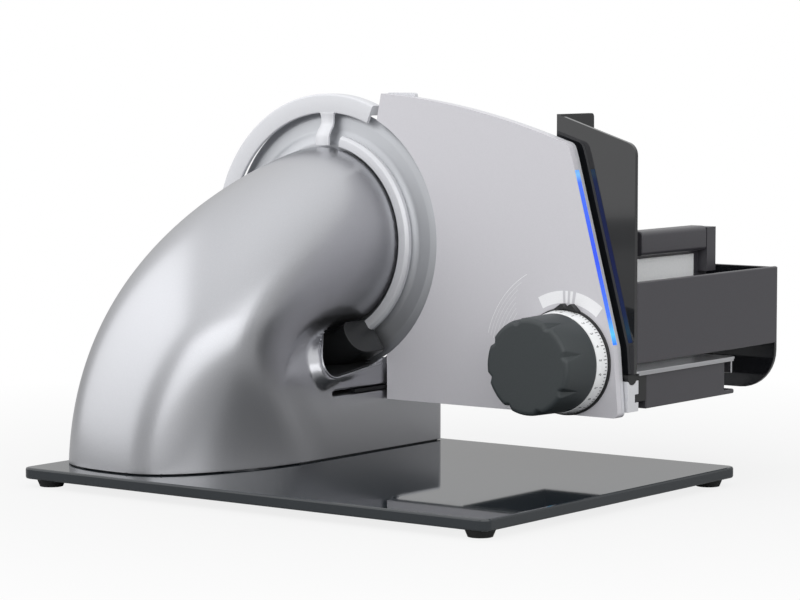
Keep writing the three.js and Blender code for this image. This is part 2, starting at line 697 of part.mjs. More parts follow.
// Gearbox cover in the round end of the housing
const coverHoles = pillars.map(([x, z]) => rodY(pillarScrew + FIT, coverBackY - 1, coverFrontY + 1, x, z, 12));
add('gearbox_cover', cut(
  rodY(TUBE_RADIUS - HOUSING_WALL - FIT, coverBackY, coverFrontY, BLADE_X, bladeZ, 32),
  rodY(BUSH_RADIUS + SEAT, coverBackY - 1, coverFrontY + 1, BLADE_X, bladeZ),
  rodY(PIN_RADIUS + SEAT, coverBackY - 1, coverBackY + COVER_THICKNESS / 2, midX, midZ), ...coverHoles,
), ...FINISH.soot);

// Gear plate with its three pillars, behind the gears
const plateBody = join(
  rodY(PILLAR_CIRCLE + 2 * PILLAR_RADIUS - 2, gearPlateBackY, gearPlateFrontY, BLADE_X, bladeZ, 32),
  rodY(4 * PIN_RADIUS, gearPlateBackY, gearPlateFrontY, midX, midZ),
  rodY(MOTOR_RADIUS + 0.5, gearPlateBackY, gearPlateFrontY, motorX, motorZ, 32),
  ...pillars.map(([x, z]) => rodY(PILLAR_RADIUS, gearPlateBackY, coverBackY - SEAT, x, z, 12)));
const pillarHoles = pillars.map(([x, z]) => rodY(
  pillarScrew + FIT / 2, coverBackY - 3 * SCREW_HEAD, coverBackY, x, z, 12));
add('gear_plate', cut(plateBody,
  rodY(BUSH_RADIUS + SEAT, gearPlateBackY - 1, gearPlateFrontY + 1, BLADE_X, bladeZ),
  rodY(PIN_RADIUS + SEAT, gearPlateBackY - 1, gearPlateFrontY + 1, midX, midZ),
  rodY(MOTOR_SHAFT_RADIUS + 1, gearPlateBackY - 1, gearPlateFrontY + 1, motorX, motorZ), ...pillarHoles,
), ...FINISH.aluminium);
pillars.forEach(([x, z], i) => {
  const headBack = coverFrontY + SEAT;
  add(`cover_screw_${i + 1}`, turnedY([
    [0, coverBackY - 2 * SCREW_HEAD], [pillarScrew, coverBackY - 2 * SCREW_HEAD], [pillarScrew, headBack],
    [2 * pillarScrew, headBack], [2 * pillarScrew, headBack + pillarScrew], [0, headBack + pillarScrew],
  ], x, z, 12), ...FINISH.steel);
});

// Bushes, blade shaft and drive gear
const shaftBore = SHAFT_RADIUS + FIT;
const bushes = [['front_bush', coverBackY, coverFrontY], ['rear_bush', gearPlateBackY, gearPlateFrontY]];
for (const [name, near, far] of bushes) {
  add(name, ringY(shaftBore, BUSH_RADIUS, near, far, BLADE_X, bladeZ), ...FINISH.brass);
}
const flangeBackY = coverFrontY + 2 * FIT;
const flangeFrontY = hubFaceY - SEAT;
const noseY = hubFaceY + BLADE_SHEET + SEAT;
add('blade_shaft', turnedY([
  [0, gearPlateBackY - 2], [SHAFT_RADIUS, gearPlateBackY - 2], [SHAFT_RADIUS, flangeBackY],
  [FLANGE_RADIUS, flangeBackY], [FLANGE_RADIUS, flangeFrontY], [BLADE_BORE - FIT, flangeFrontY],
  [BLADE_BORE - FIT, noseY], [0, noseY],
], BLADE_X, bladeZ), ...FINISH.steel);
const slowFarY = coverBackY - GEARBOX_DEPTH / 4;
const slowNearY = slowFarY - SLOW_FACE;
add('drive_gear', cut(
  prismY(gearShape(DRIVE_TEETH, SLOW_MODULE, BLADE_X, bladeZ, slowDirection), slowNearY, slowFarY),
  rodY(SHAFT_RADIUS + SEAT, slowNearY - 1, slowFarY + 1, BLADE_X, bladeZ),
), ...FINISH.nylon);

// Intermediate gear: large gear from the motor, small gear to the drive gear
const fastNearY = gearPlateFrontY + 2;
const fastFarY = fastNearY + FAST_FACE;
add('intermediate_gear', cut(join(
  prismY(gearShape(FAST_GEAR_TEETH, FAST_MODULE, midX, midZ, fastDirection), fastNearY, fastFarY),
  prismY(gearShape(SLOW_PINION_TEETH, SLOW_MODULE, midX, midZ, meshPhase(slowDirection, SLOW_PINION_TEETH)),
    fastFarY - 1, slowFarY)),
  rodY(PIN_RADIUS + SEAT, fastNearY - 1, slowFarY + 1, midX, midZ),
), ...FINISH.nylon);
add('intermediate_pin', rodY(PIN_RADIUS, gearPlateBackY, coverBackY + COVER_THICKNESS / 2 - SEAT, midX, midZ),
  ...FINISH.steel);

// Motor on the back of the gear plate
const motorFrontY = gearPlateBackY - SEAT;
const motorBackY = motorFrontY - MOTOR_LENGTH;
const motorBore = MOTOR_RADIUS - MOTOR_WALL;
const shaftHole = MOTOR_SHAFT_RADIUS + FIT;
add('motor_can', turnedY([
  [motorBore, motorBackY], [MOTOR_RADIUS, motorBackY], [MOTOR_RADIUS, motorFrontY], [shaftHole, motorFrontY],
  [shaftHole, motorFrontY - END_CAP_THICKNESS], [motorBore, motorFrontY - END_CAP_THICKNESS],
  [motorBore, motorBackY],
], motorX, motorZ), ...FINISH.steel);
const capFrontY = motorBackY - SEAT;
const capBack = capFrontY - END_CAP_THICKNESS;
add('motor_end_cap', ringY(shaftHole, MOTOR_RADIUS, capBack, capFrontY, motorX, motorZ), ...FINISH.soot);
const rotorRadius = motorBore - ROTOR_GAP;
const rotorBackY = motorBackY + END_CAP_THICKNESS;
const rotorFrontY = motorFrontY - 2 * END_CAP_THICKNESS;
const shaftTipY = fastFarY + 1;
add('motor_rotor', turnedY([
  [0, capFrontY - END_CAP_THICKNESS], [MOTOR_SHAFT_RADIUS, capFrontY - END_CAP_THICKNESS],
  [MOTOR_SHAFT_RADIUS, rotorBackY], [rotorRadius, rotorBackY], [rotorRadius, rotorFrontY],
  [MOTOR_SHAFT_RADIUS, rotorFrontY], [MOTOR_SHAFT_RADIUS, shaftTipY], [0, shaftTipY],
], motorX, motorZ), ...FINISH.steel);
const pinionPhase = meshPhase(fastDirection, MOTOR_PINION_TEETH);
add('motor_pinion', cut(
  prismY(gearShape(MOTOR_PINION_TEETH, FAST_MODULE, motorX, motorZ, pinionPhase),
    fastNearY - 0.5, fastFarY + 0.5),
  rodY(MOTOR_SHAFT_RADIUS + SEAT, fastNearY - 2, fastFarY + 2, motorX, motorZ),
), ...FINISH.brass);

// Blade: flat hub, a step, a cone and a ground edge
const stepRadius = BLADE_HUB_RADIUS + 1.6 * BLADE_DISH;
const grindRadius = BLADE_RADIUS - 6;
const coneY = hubFaceY + 0.72 * BLADE_DISH;
const grindY = hubFaceY + 0.86 * BLADE_DISH;
add('blade', turnedY([
  [BLADE_BORE, hubFaceY], [BLADE_HUB_RADIUS, hubFaceY], [stepRadius, coneY], [grindRadius, grindY],
  [BLADE_RADIUS, bladeEdgeY - 0.2], [BLADE_RADIUS, bladeEdgeY], [grindRadius, bladeEdgeY - 0.1],
  [stepRadius, coneY + BLADE_SHEET], [BLADE_HUB_RADIUS, hubFaceY + BLADE_SHEET],
  [BLADE_BORE, hubFaceY + BLADE_SHEET],
  [BLADE_BORE, hubFaceY],
], BLADE_X, bladeZ, 64), ...FINISH.steel);
const capBackY = noseY + SEAT;
add('blade_cap', turnedY([
  [0, capBackY], [2 * FLANGE_RADIUS, capBackY], [2 * FLANGE_RADIUS - 1, capBackY + 2],
  [FLANGE_RADIUS, bladeEdgeY - 0.6], [0, bladeEdgeY - 0.4],
], BLADE_X, bladeZ, 40), ...FINISH.soot);

// Blade guard: band over the blade edge, spoke, and band round the tube
const spokeRoot = bandOuter - 2;
const spokeTip = GUARD_INNER + 1;
const spokeSpan = THREE.MathUtils.radToDeg(GUARD_SPOKE_WIDTH / 2 / GUARD_INNER);
const spokeShape = polygon([
  onCircle(BLADE_X, bladeZ, spokeRoot, GUARD_SPOKE + spokeSpan),
  onCircle(BLADE_X, bladeZ, spokeRoot, GUARD_SPOKE - spokeSpan),
  onCircle(BLADE_X, bladeZ, spokeTip, GUARD_SPOKE - spokeSpan),
  onCircle(BLADE_X, bladeZ, spokeTip, GUARD_SPOKE + spokeSpan),
]);
const guardArc = cut(
  prismY(ringSector(BLADE_X, bladeZ, GUARD_INNER, GUARD_OUTER, GUARD_START, GUARD_END), guardFrontY, foodY, 28),
  prismY(ringSector(BLADE_X, bladeZ, GUARD_INNER - 1, GUARD_OUTER - GUARD_RIM, GUARD_START - 2, GUARD_END + 2),
    guardBackY, foodY + 1, 30));
const guardBand = prismY(
  ringSector(BLADE_X, bladeZ, bandInner, bandOuter, GUARD_BAND_END, GUARD_SPOKE + GUARD_BAND_START),
  bandFrontY, bandBackY, 28);
add('blade_guard', join(guardArc, guardBand, prismY(spokeShape, bandBackY - 1.4, guardFrontY + 1.2)),
  ...FINISH.satin);

// Stop plate outline: round edge along the blade, sloping right edge with the light strip
const plateArc = BLADE_RADIUS + PLATE_GAP;
function stopPlateShape() {
  const at = ([x, height]) => [x, up(height)];
  const lowAngle = -Math.acos((PLATE_LEFT - BLADE_X) / plateArc);
  const highAngle = Math.acos((PLATE_TOP_LEFT[0] - 3.5 - BLADE_X) / plateArc);
  const shape = new THREE.Shape();
  shape.moveTo(PLATE_LEFT, up(PLATE_BOTTOM));
  shape.lineTo(PLATE_RIGHT_END[0] - 5, up(PLATE_BOTTOM));
  shape.quadraticCurveTo(PLATE_RIGHT_END[0], up(PLATE_BOTTOM), ...at(PLATE_RIGHT_END));
  shape.lineTo(...at(PLATE_RIGHT_LOW));
  shape.lineTo(...at(PLATE_RIGHT_TOP));
  shape.quadraticCurveTo(...at(PLATE_SHOULDER), ...at(PLATE_TOP_RIGHT));
  shape.quadraticCurveTo(...at(PLATE_TOP_BEND), ...at(PLATE_TOP_LEFT));
  shape.absarc(BLADE_X, bladeZ, plateArc, highAngle, lowAngle, true);
  shape.closePath();
  return shape;
}

// Same outline drawn in by a margin, for the hollow of the cover
function drawnIn(shape, margin) {
  const points = shape.getPoints(14);
  if (points[0].distanceTo(points[points.length - 1]) < 1e-6) points.pop();
  const inner = points.map((point, i) => {
    const before = points[(i + points.length - 1) % points.length];
    const after = points[(i + 1) % points.length];
    const first = point.clone().sub(before).normalize();
    const second = after.clone().sub(point).normalize();
    const normal = new THREE.Vector2(-first.y - second.y, first.x + second.x);
    const half = normal.length() / 2;
    return point.clone().addScaledVector(normal.normalize(), margin / Math.max(half, 0.5));
  });
  return new THREE.Shape(inner);
}

const knobZ = up(KNOB_HEIGHT);
const gearDistance = THICKNESS_TEETH * THICKNESS_MODULE;
const screwZ = knobZ - gearDistance;
const coverEndY = PLATE_FRONT_Y + PLATE_THICKNESS - PLATE_BACK - SEAT;
const plateBackY = coverEndY + SEAT;
const edgeSlope = (PLATE_RIGHT_LOW[0] - PLATE_RIGHT_TOP[0]) / (PLATE_RIGHT_LOW[1] - PLATE_RIGHT_TOP[1]);
const edgeX = (height) => PLATE_RIGHT_TOP[0] + edgeSlope * (height - PLATE_RIGHT_TOP[1]);
const ledShape = (grow) => polygon([
  [edgeX(LED_BOTTOM - grow) - LED_DEPTH - grow, up(LED_BOTTOM - grow)],
  [edgeX(LED_BOTTOM - grow) + 2 * grow, up(LED_BOTTOM - grow)],
  [edgeX(LED_TOP + grow) + 2 * grow, up(LED_TOP + grow)],
  [edgeX(LED_TOP + grow) - LED_DEPTH - grow, up(LED_TOP + grow)],
]);
const ledNearY = PLATE_FRONT_Y + 0.6;
const outline = stopPlateShape();
const coverHollow = cut(
  prismY(drawnIn(outline, PLATE_RIM), coverCavityY, coverEndY + 1),
  prismY(ledShape(PLATE_RIM / 2), coverCavityY - 1, coverEndY + 2));
const coverNotch = block(
  [PLATE_LEFT - 1, PLATE_LEFT + PLATE_RIM + 1], [coverCavityY, coverEndY + 1],
  [up(PLATE_BOTTOM) + PLATE_RIM, up(PLATE_BOTTOM) + PLATE_RIM + TAB_HEIGHT + 2 * FIT]);
add('plate_cover', cut(
  prismY(outline, PLATE_FRONT_Y, coverEndY), coverHollow, coverNotch,
  prismY(ledShape(SEAT), ledNearY - SEAT, ledNearY + LED_WIDTH),
  rodY(SPINDLE_RADIUS + FIT, PLATE_FRONT_Y - 1, coverEndY, KNOB_X, knobZ),
  rodY(SCREW_RADIUS + 2 * FIT, PLATE_FRONT_Y - 1, coverEndY, KNOB_X, screwZ),
), ...FINISH.panel);
const crest = block(
  [PLATE_TOP_LEFT[0], PLATE_TOP_LEFT[0] + PLATE_CREST[0]], [plateBackY, foodY],
  [up(PLATE_TOP_LEFT[1] - PLATE_CREST[0] / 3), up(PLATE_CREST[1])]);
add('stop_plate', cut(
  join(prismY(outline, plateBackY, foodY), crest),
  rodY(SCREW_RADIUS + 2 * FIT, plateBackY - 1, foodY + 1, KNOB_X, screwZ),
), ...FINISH.aluminium);
add('led_strip', prismY(ledShape(0), ledNearY, coverEndY - SEAT), ...FINISH.light);

// Carrier: block on two rods in the housing, arm through the slot, tab inside the stop plate
const blockX = [ARM_LEFT, SLIDE_BLOCK_RIGHT];
const rodZAxis = armLow - ROD_DROP;
const rodX = [ARM_LEFT + ROD_INSET, SLIDE_BLOCK_RIGHT - ROD_INSET];
const tabLeft = WEB_RIGHT + 2 * FIT;
const neckEnd = PLATE_LEFT + 3 * PLATE_RIM;
const tabLow = up(PLATE_BOTTOM) + PLATE_RIM + FIT;
const carrierBores = rodX.map((x) => rodY(ROD_RADIUS + FIT, blockNearY - 1, blockFarY + 1, x, rodZAxis));
add('plate_carrier', cut(join(
  block(blockX, [blockNearY, blockFarY], [armLow - SLIDE_BLOCK_DROP, armLow + 1]),
  block([ARM_LEFT, PLATE_LEFT - 1], [blockNearY, tabBackY], [armLow, armHigh]),
  block([SLIDE_BLOCK_RIGHT, neckEnd], [tabFrontY, tabBackY], [armLow, armHigh]),
  block([tabLeft, tabLeft + TAB_LENGTH], [tabFrontY, tabBackY], [tabLow, tabLow + TAB_HEIGHT])),
...carrierBores), ...FINISH.steel);
const lugNear = blockNearY - PLATE_TRAVEL - FIT - LUG_THICKNESS;
const lugFar = blockFarY + FIT;
const lugTop = armLow - FIT - 0.7;
const bracketBores = rodX.map((x) => rodY(
  ROD_RADIUS + SEAT, lugNear - 1, lugFar + LUG_THICKNESS + 1, x, rodZAxis));
add('guide_bracket', cut(join(
  block(blockX, [lugNear, lugFar + LUG_THICKNESS - 2 * FIT],
    [floorTop + SEAT, floorTop + SEAT + BRACKET_FLOOR]),
  block(blockX, [lugNear, lugNear + LUG_THICKNESS], [floorTop + SEAT, lugTop]),
  block(blockX, [lugFar, lugFar + LUG_THICKNESS - 2 * FIT], [floorTop + SEAT, lugTop])),
...bracketBores), ...FINISH.aluminium);
['guide_rod_left', 'guide_rod_right'].forEach((name, i) => {
  add(name, rodY(ROD_RADIUS, lugNear, lugFar + LUG_THICKNESS - 2 * FIT, rodX[i], rodZAxis), ...FINISH.steel);
});

// Knob with grip grooves, scale ring behind it, pointer ring on the plate
const pointerFrontY = PLATE_FRONT_Y - SEAT - POINTER_WIDTH;
const scaleBackY = pointerFrontY - SEAT;
const scaleFrontY = scaleBackY - SCALE_WIDTH;
const knobBackY = scaleFrontY - SEAT;
const knobFrontY = knobBackY - KNOB_LENGTH;
const knobBore = KNOB_RADIUS - KNOB_WALL;
const grips = [];
for (let i = 0; i < KNOB_GRIPS; i += 1) {
  const groove = new THREE.BoxGeometry(2 * KNOB_GRIP_DEPTH, KNOB_GRIP_LENGTH, KNOB_GRIP_WIDTH);
  groove.translate(KNOB_FRONT_RADIUS + KNOB_GRIP_DEPTH / 2, knobFrontY + KNOB_GRIP_LENGTH / 2 - 1, 0);
  groove.rotateY((2 * Math.PI * i) / KNOB_GRIPS);
  groove.translate(KNOB_X, 0, knobZ);
  grips.push(solidOf(groove));
}
add('knob', cut(turnedY([
  [0, knobFrontY], [KNOB_FRONT_RADIUS - 2, knobFrontY], [KNOB_FRONT_RADIUS, knobFrontY + 2],
  [KNOB_RADIUS, knobBackY], [knobBore, knobBackY], [knobBore, knobFrontY + KNOB_FACE],
  [KNOB_HUB_RADIUS, knobFrontY + KNOB_FACE], [KNOB_HUB_RADIUS, pointerFrontY], [0, pointerFrontY],
], KNOB_X, knobZ, 36),
rodY(SPINDLE_RADIUS + SEAT, knobFrontY + 2 * KNOB_FACE, pointerFrontY + 1, KNOB_X, knobZ), ...grips,
), ...FINISH.anthracite);
add('scale_ring', ringY(knobBore, SCALE_RADIUS, scaleFrontY, scaleBackY, KNOB_X, knobZ, 36), ...FINISH.white);
const pointerBody = ringY(
  knobBore, POINTER_RADIUS, pointerFrontY, pointerFrontY + POINTER_WIDTH, KNOB_X, knobZ, 36);
add('pointer_ring', pointerBody, ...FINISH.soot);

// Thickness drive: spindle gear in the plate turns a nut gear on a fixed screw
const gearNearY = coverCavityY + FIT;
const gearFarY = coverEndY - FIT / 2;
add('knob_spindle', join(
  rodY(SPINDLE_RADIUS, knobFrontY + 2 * KNOB_FACE + SEAT, gearFarY, KNOB_X, knobZ),
  prismY(gearShape(THICKNESS_TEETH, THICKNESS_MODULE, KNOB_X, knobZ, -Math.PI / 2), gearNearY, gearFarY),
), ...FINISH.steel);
add('nut_gear', cut(
  prismY(gearShape(THICKNESS_TEETH, THICKNESS_MODULE, KNOB_X, screwZ, meshPhase(-Math.PI / 2, THICKNESS_TEETH)),
    gearNearY, gearFarY),
  rodY(SCREW_RADIUS + FIT, gearNearY - 1, gearFarY + 1, KNOB_X, screwZ),
), ...FINISH.brass);
const screwTipY = knobFrontY + KNOB_FACE + 2;
add('thickness_screw', rodY(SCREW_RADIUS, screwTipY, railFront + RAIL_DEPTH / 2 - SEAT, KNOB_X, screwZ),
  ...FINISH.steel);

// Guide rail: round groove on top for the slider, slot behind for its tongue
const grooveY = railFront + GROOVE_OFFSET;
const grooveZ = up(RAIL_HIGH) + GROOVE_LIFT;
const slotLow = up(RAIL_LOW) + SLOT_LOW;
function rodX3(radius, x0, x1, y, z) {
  return turnedX([[0, x0], [radius, x0], [radius, x1], [0, x1]], y, z, 20);
}
const railScrewTip = up(RAIL_LOW) + 8;
add('guide_rail', cut(
  block([RAIL_LEFT, RAIL_RIGHT], [railFront, railBack], [up(RAIL_LOW), up(RAIL_HIGH)]),
  rodX3(GROOVE_RADIUS, RAIL_LEFT - 1, RAIL_RIGHT + 1, grooveY, grooveZ),
  block([RAIL_LEFT - 1, RAIL_RIGHT + 1], [railBack - SLOT_DEPTH, railBack + 1],
    [slotLow, slotLow + SLOT_HEIGHT]),
  rodY(SCREW_RADIUS + SEAT, railFront - 1, railFront + RAIL_DEPTH / 2, KNOB_X, screwZ),
  ...railScrewX.map((x) => rodZ(SCREW_SHANK + SEAT, up(RAIL_LOW) - 1, railScrewTip, x, railMidY, 12)),
), ...FINISH.aluminium);
['rail_screw_left', 'rail_screw_right'].forEach((name, i) => {
  const headTop = up(PEDESTAL_HEIGHT) - HOUSING_WALL - SEAT;
  const headLow = headTop - SCREW_HEAD_HEIGHT;
  add(name, turnedZ([
    [0, headLow], [SCREW_HEAD, headLow], [SCREW_HEAD, headTop], [SCREW_SHANK, headTop],
    [SCREW_SHANK, railScrewTip - 1], [0, railScrewTip - 1],
  ], railScrewX[i], railMidY, 12), ...FINISH.steel);
});

// Carriage: slider in the rail, base block, steel table
const tableZ = up(TABLE_TOP);
const tableLow = tableZ - TABLE_THICKNESS;
const blockHigh = tableLow - SEAT;
const sliderClip = block(
  [BLOCK_LEFT - 1, BLOCK_RIGHT + 1], [grooveY - 2 * GROOVE_RADIUS, grooveY + 2 * GROOVE_RADIUS],
  [blockHigh, grooveZ + 2 * GROOVE_RADIUS]);
add('rail_slider', join(
  cut(rodX3(GROOVE_RADIUS - FIT, BLOCK_LEFT, BLOCK_RIGHT, grooveY, grooveZ), sliderClip),
  block([BLOCK_LEFT, BLOCK_RIGHT], [grooveY, BLOCK_NEAR - SEAT], [up(RAIL_HIGH) + FIT, blockHigh]),
  block([BLOCK_LEFT, BLOCK_RIGHT], [railBack + FIT, BLOCK_NEAR - SEAT], [slotLow + FIT, blockHigh]),
  block([BLOCK_LEFT, BLOCK_RIGHT], [railBack - SLOT_DEPTH + FIT, railBack + 2],
    [slotLow + FIT, slotLow + SLOT_HEIGHT - FIT])), ...FINISH.soot);
add('carriage_base', join(
  cut(block([BLOCK_LEFT, BLOCK_RIGHT], [BLOCK_NEAR, BLOCK_FAR], [up(BLOCK_LOW), blockHigh]),
    block([BLOCK_LEFT + BLOCK_WALL, BLOCK_RIGHT - BLOCK_WALL],
      [BLOCK_NEAR + BLOCK_WALL, BLOCK_FAR - BLOCK_WALL],
      [up(BLOCK_LOW) - 1, blockHigh - BLOCK_WALL])),
  block([BLOCK_RIGHT - BLOCK_STUB, BLOCK_RIGHT], [BLOCK_FAR - 1, BLOCK_FAR + BLOCK_STUB],
    [up(BLOCK_LOW), up(BLOCK_LOW) + BLOCK_WALL])), ...FINISH.black);
add('table_plate', join(
  prismZ(roundedRect(TABLE_LEFT, TABLE_NEAR, TABLE_RIGHT, TABLE_FAR, BLOCK_WALL), tableLow, tableZ),
  block([TABLE_LEFT + BLOCK_WALL, TABLE_RIGHT - BLOCK_WALL], [TABLE_FAR - TABLE_THICKNESS, TABLE_FAR],
    [tableZ - TABLE_LIP, tableZ])), ...FINISH.steel);

// Thumb guard and back wall, moulded in one
const guardShape = new THREE.Shape();
guardShape.moveTo(BACK_X - WALL, tableLow + SEAT);
guardShape.lineTo(GUARD_RIGHT, tableLow + SEAT);
guardShape.lineTo(GUARD_RIGHT, up(GUARD_SHOULDER) - GUARD_CORNER);
guardShape.quadraticCurveTo(
  GUARD_RIGHT, up(GUARD_SHOULDER), GUARD_RIGHT - GUARD_CORNER, up(GUARD_SHOULDER) + 3);
guardShape.lineTo(BACK_X - WALL, up(GUARD_TOP));
const backShape = new THREE.Shape();
backShape.moveTo(GUARD_NEAR, tableZ + SEAT);
backShape.lineTo(HAND_FAR - WALL - SEAT, tableZ + SEAT);
backShape.lineTo(HAND_FAR - WALL - SEAT, up(BACK_LOW_TOP));
backShape.lineTo(BACK_LOW_START, up(BACK_LOW_TOP));
backShape.quadraticCurveTo(BACK_TALL_FAR, up(BACK_LOW_TOP), BACK_TALL_FAR, up(BACK_LOW_TOP) + BACK_RISE);
backShape.lineTo(BACK_TALL_FAR, up(GUARD_TOP) - WALL);
backShape.lineTo(BACK_TALL_FAR - WALL, up(GUARD_TOP));
backShape.lineTo(GUARD_NEAR, up(GUARD_TOP));
add('carriage_back', join(
  prismY(guardShape, GUARD_NEAR, GUARD_NEAR + WALL),
  prismX(backShape, BACK_X - WALL, BACK_X)), ...FINISH.black);

// Hand frame: outer wall and far end wall with a round lower corner
const endShape = new THREE.Shape();
const endLeft = BACK_X - WALL;
endShape.moveTo(endLeft, up(HAND_END_LOW));
endShape.lineTo(GUARD_RIGHT - HAND_CORNER, up(HAND_END_LOW));
endShape.absarc(GUARD_RIGHT - HAND_CORNER, up(HAND_END_LOW) + HAND_CORNER, HAND_CORNER, -Math.PI / 2, 0);
endShape.lineTo(GUARD_RIGHT, up(HAND_TOP));
endShape.lineTo(endLeft, up(HAND_TOP));
add('hand_frame', join(
  block([GUARD_RIGHT - WALL, GUARD_RIGHT], [GUARD_NEAR + WALL + SEAT, HAND_FAR], [up(HAND_LOW), up(HAND_TOP)]),
  prismY(endShape, HAND_FAR - WALL, HAND_FAR, 10)), ...FINISH.black);

// Remnant holder: frame with a light panel, grip on top, bridge over the back wall to the spiked plate
const frameX = PUSHER_X - PUSHER_GRIP_DEPTH / 2;
const frameBand = [frameX - PUSHER_SHEET, frameX];
const gripLow = up(PUSHER_GRIP_LOW);
const bridgeLow = up(BACK_LOW_TOP) + 1.5;
const bridgeY = [PUSHER_FAR - PUSHER_BRIDGE, PUSHER_FAR];
const windowY = [PUSHER_NEAR + PUSHER_FRAME_EDGE, PUSHER_GRIP_FAR - PUSHER_FRAME_EDGE];
const windowZ = [tableZ + PUSHER_FRAME_EDGE, gripLow - PUSHER_FRAME_EDGE / 2];
const spikes = [];
for (let i = 0; i < PUSHER_SPIKES; i += 1) {
  const share = (i + 0.5) / PUSHER_SPIKES;
  const x = THREE.MathUtils.lerp(PUSHER_PLATE_LEFT, PUSHER_PLATE_RIGHT, share);
  const z = tableZ + (i % 2 === 0 ? PUSHER_BRIDGE : 3 * PUSHER_BRIDGE);
  spikes.push(turnedY(
    [[0, bridgeY[0] - SPIKE_LENGTH], [SPIKE_RADIUS, bridgeY[0] + 1], [0, bridgeY[0] + 1]], x, z, 12));
}
add('pusher_frame', join(
  cut(block(frameBand, [PUSHER_NEAR, PUSHER_FAR], [tableZ + SEAT, gripLow - SEAT]),
    block([frameBand[0] - 1, frameBand[1] + 1], windowY, windowZ)),
  block([frameBand[0], PUSHER_X], [PUSHER_GRIP_FAR + SEAT, PUSHER_FAR], [bridgeLow, up(PUSHER_TOP) - 1]),
  block([PUSHER_PLATE_LEFT, frameX], bridgeY, [bridgeLow, bridgeLow + PUSHER_BRIDGE]),
  block([PUSHER_PLATE_LEFT, PUSHER_PLATE_RIGHT], [bridgeY[0], bridgeY[0] + PUSHER_SHEET],
    [tableZ + SEAT, bridgeLow + PUSHER_BRIDGE]),
  ...spikes), ...FINISH.black);
add('pusher_panel', block(
  [frameBand[0] + SEAT, frameBand[1] - SEAT], [windowY[0] + SEAT, windowY[1] - SEAT],
  [windowZ[0] + SEAT, windowZ[1] - SEAT]), ...FINISH.white);
add('pusher_grip', prismY(roundedRect(
  PUSHER_X - PUSHER_GRIP_DEPTH, gripLow, PUSHER_X, up(PUSHER_TOP), PUSHER_GRIP_DEPTH / 5),
PUSHER_NEAR, PUSHER_GRIP_FAR, 4), ...FINISH.black);

// Switch in the far face of the pedestal, cord gland in its left face
const buttonBackY = PEDESTAL_FAR + SWITCH_PROUD - SWITCH_LENGTH;
add('switch_button', turnedY([
  [0, buttonBackY], [SWITCH_RADIUS, buttonBackY], [SWITCH_RADIUS, PEDESTAL_FAR + SWITCH_PROUD - 1],
  [SWITCH_RADIUS - 1, PEDESTAL_FAR + SWITCH_PROUD], [0, PEDESTAL_FAR + SWITCH_PROUD],
], switchX, switchZ), ...FINISH.soot);
const [bodyX, bodyY, bodyZ] = SWITCH_BODY;
const bodyFarY = buttonBackY - SWITCH_TRAVEL - FIT;
add('switch_body', block(
  [switchX - bodyX / 2, switchX + bodyX / 2], [bodyFarY - bodyY, bodyFarY],
  [floorTop + SEAT, floorTop + SEAT + bodyZ]), ...FINISH.soot);
add('cord_gland', turnedX([
  [SCREW_SHANK, WEB_LEFT - GLAND_PROUD], [GLAND_RADIUS, WEB_LEFT - GLAND_PROUD],
  [GLAND_RADIUS, WEB_LEFT - SEAT],
  [GLAND_NECK, WEB_LEFT - SEAT], [GLAND_NECK, WEB_LEFT + 2 * HOUSING_WALL],
  [SCREW_SHANK, WEB_LEFT + 2 * HOUSING_WALL], [SCREW_SHANK, WEB_LEFT - GLAND_PROUD],
], GLAND_Y, glandZ), ...FINISH.soot);

// Origin under the middle of the whole object
const reach = new THREE.Box3().setFromObject(model);
const middle = reach.getCenter(new THREE.Vector3());
model.position.set(-middle.x, -middle.y, -reach.min.z);

export default model;
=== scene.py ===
import math
import bmesh
import bpy
import numpy as np
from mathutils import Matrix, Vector


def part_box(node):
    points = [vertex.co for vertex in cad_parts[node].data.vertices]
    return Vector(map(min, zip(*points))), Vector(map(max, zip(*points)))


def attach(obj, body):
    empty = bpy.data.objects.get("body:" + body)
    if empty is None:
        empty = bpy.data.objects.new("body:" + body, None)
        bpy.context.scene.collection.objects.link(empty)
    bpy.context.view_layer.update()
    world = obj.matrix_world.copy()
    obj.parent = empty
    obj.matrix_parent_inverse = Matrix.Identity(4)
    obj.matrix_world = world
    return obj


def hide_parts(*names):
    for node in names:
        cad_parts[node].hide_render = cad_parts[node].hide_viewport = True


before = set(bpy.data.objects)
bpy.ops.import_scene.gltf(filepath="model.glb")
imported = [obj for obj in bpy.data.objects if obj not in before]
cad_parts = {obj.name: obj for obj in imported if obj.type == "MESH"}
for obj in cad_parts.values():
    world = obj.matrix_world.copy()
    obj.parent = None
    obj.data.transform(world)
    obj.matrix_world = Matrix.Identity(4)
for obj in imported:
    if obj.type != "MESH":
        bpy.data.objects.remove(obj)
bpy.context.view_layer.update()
bpy.context.scene.view_settings.view_transform = "Standard"

# The slicer is drawn in millimetres from the middle of its base plate, with X to the right,
# Y away from the motor side and Z up from the table top.
base_low, base_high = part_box("base_plate")
base_middle = (base_low + base_high) / 2


def spot(x, y, z):
    """Place in the scene of a point given in millimetres."""
    return Vector((base_middle.x + x / 1000, base_middle.y + y / 1000, z / 1000))


def linear(code):
    """sRGB hex colour as linear red, green, blue and alpha."""
    parts = [int(code[i:i + 2], 16) / 255 for i in (1, 3, 5)]
    return [c / 12.92 if c <= 0.04045 else ((c + 0.055) / 1.055) ** 2.4 for c in parts] + [1]


def add_node(owner, kind, inputs=(), **settings):
    """Adds a node with its settings, and gives each named socket a value or a link."""
    node = owner.node_tree.nodes.new(kind)
    for name, value in settings.items():
        setattr(node, name, value)
    for socket, value in dict(inputs).items():
        if isinstance(value, bpy.types.NodeSocket):
            owner.node_tree.links.new(value, node.inputs[socket])
        else:
            node.inputs[socket].default_value = value
    return node


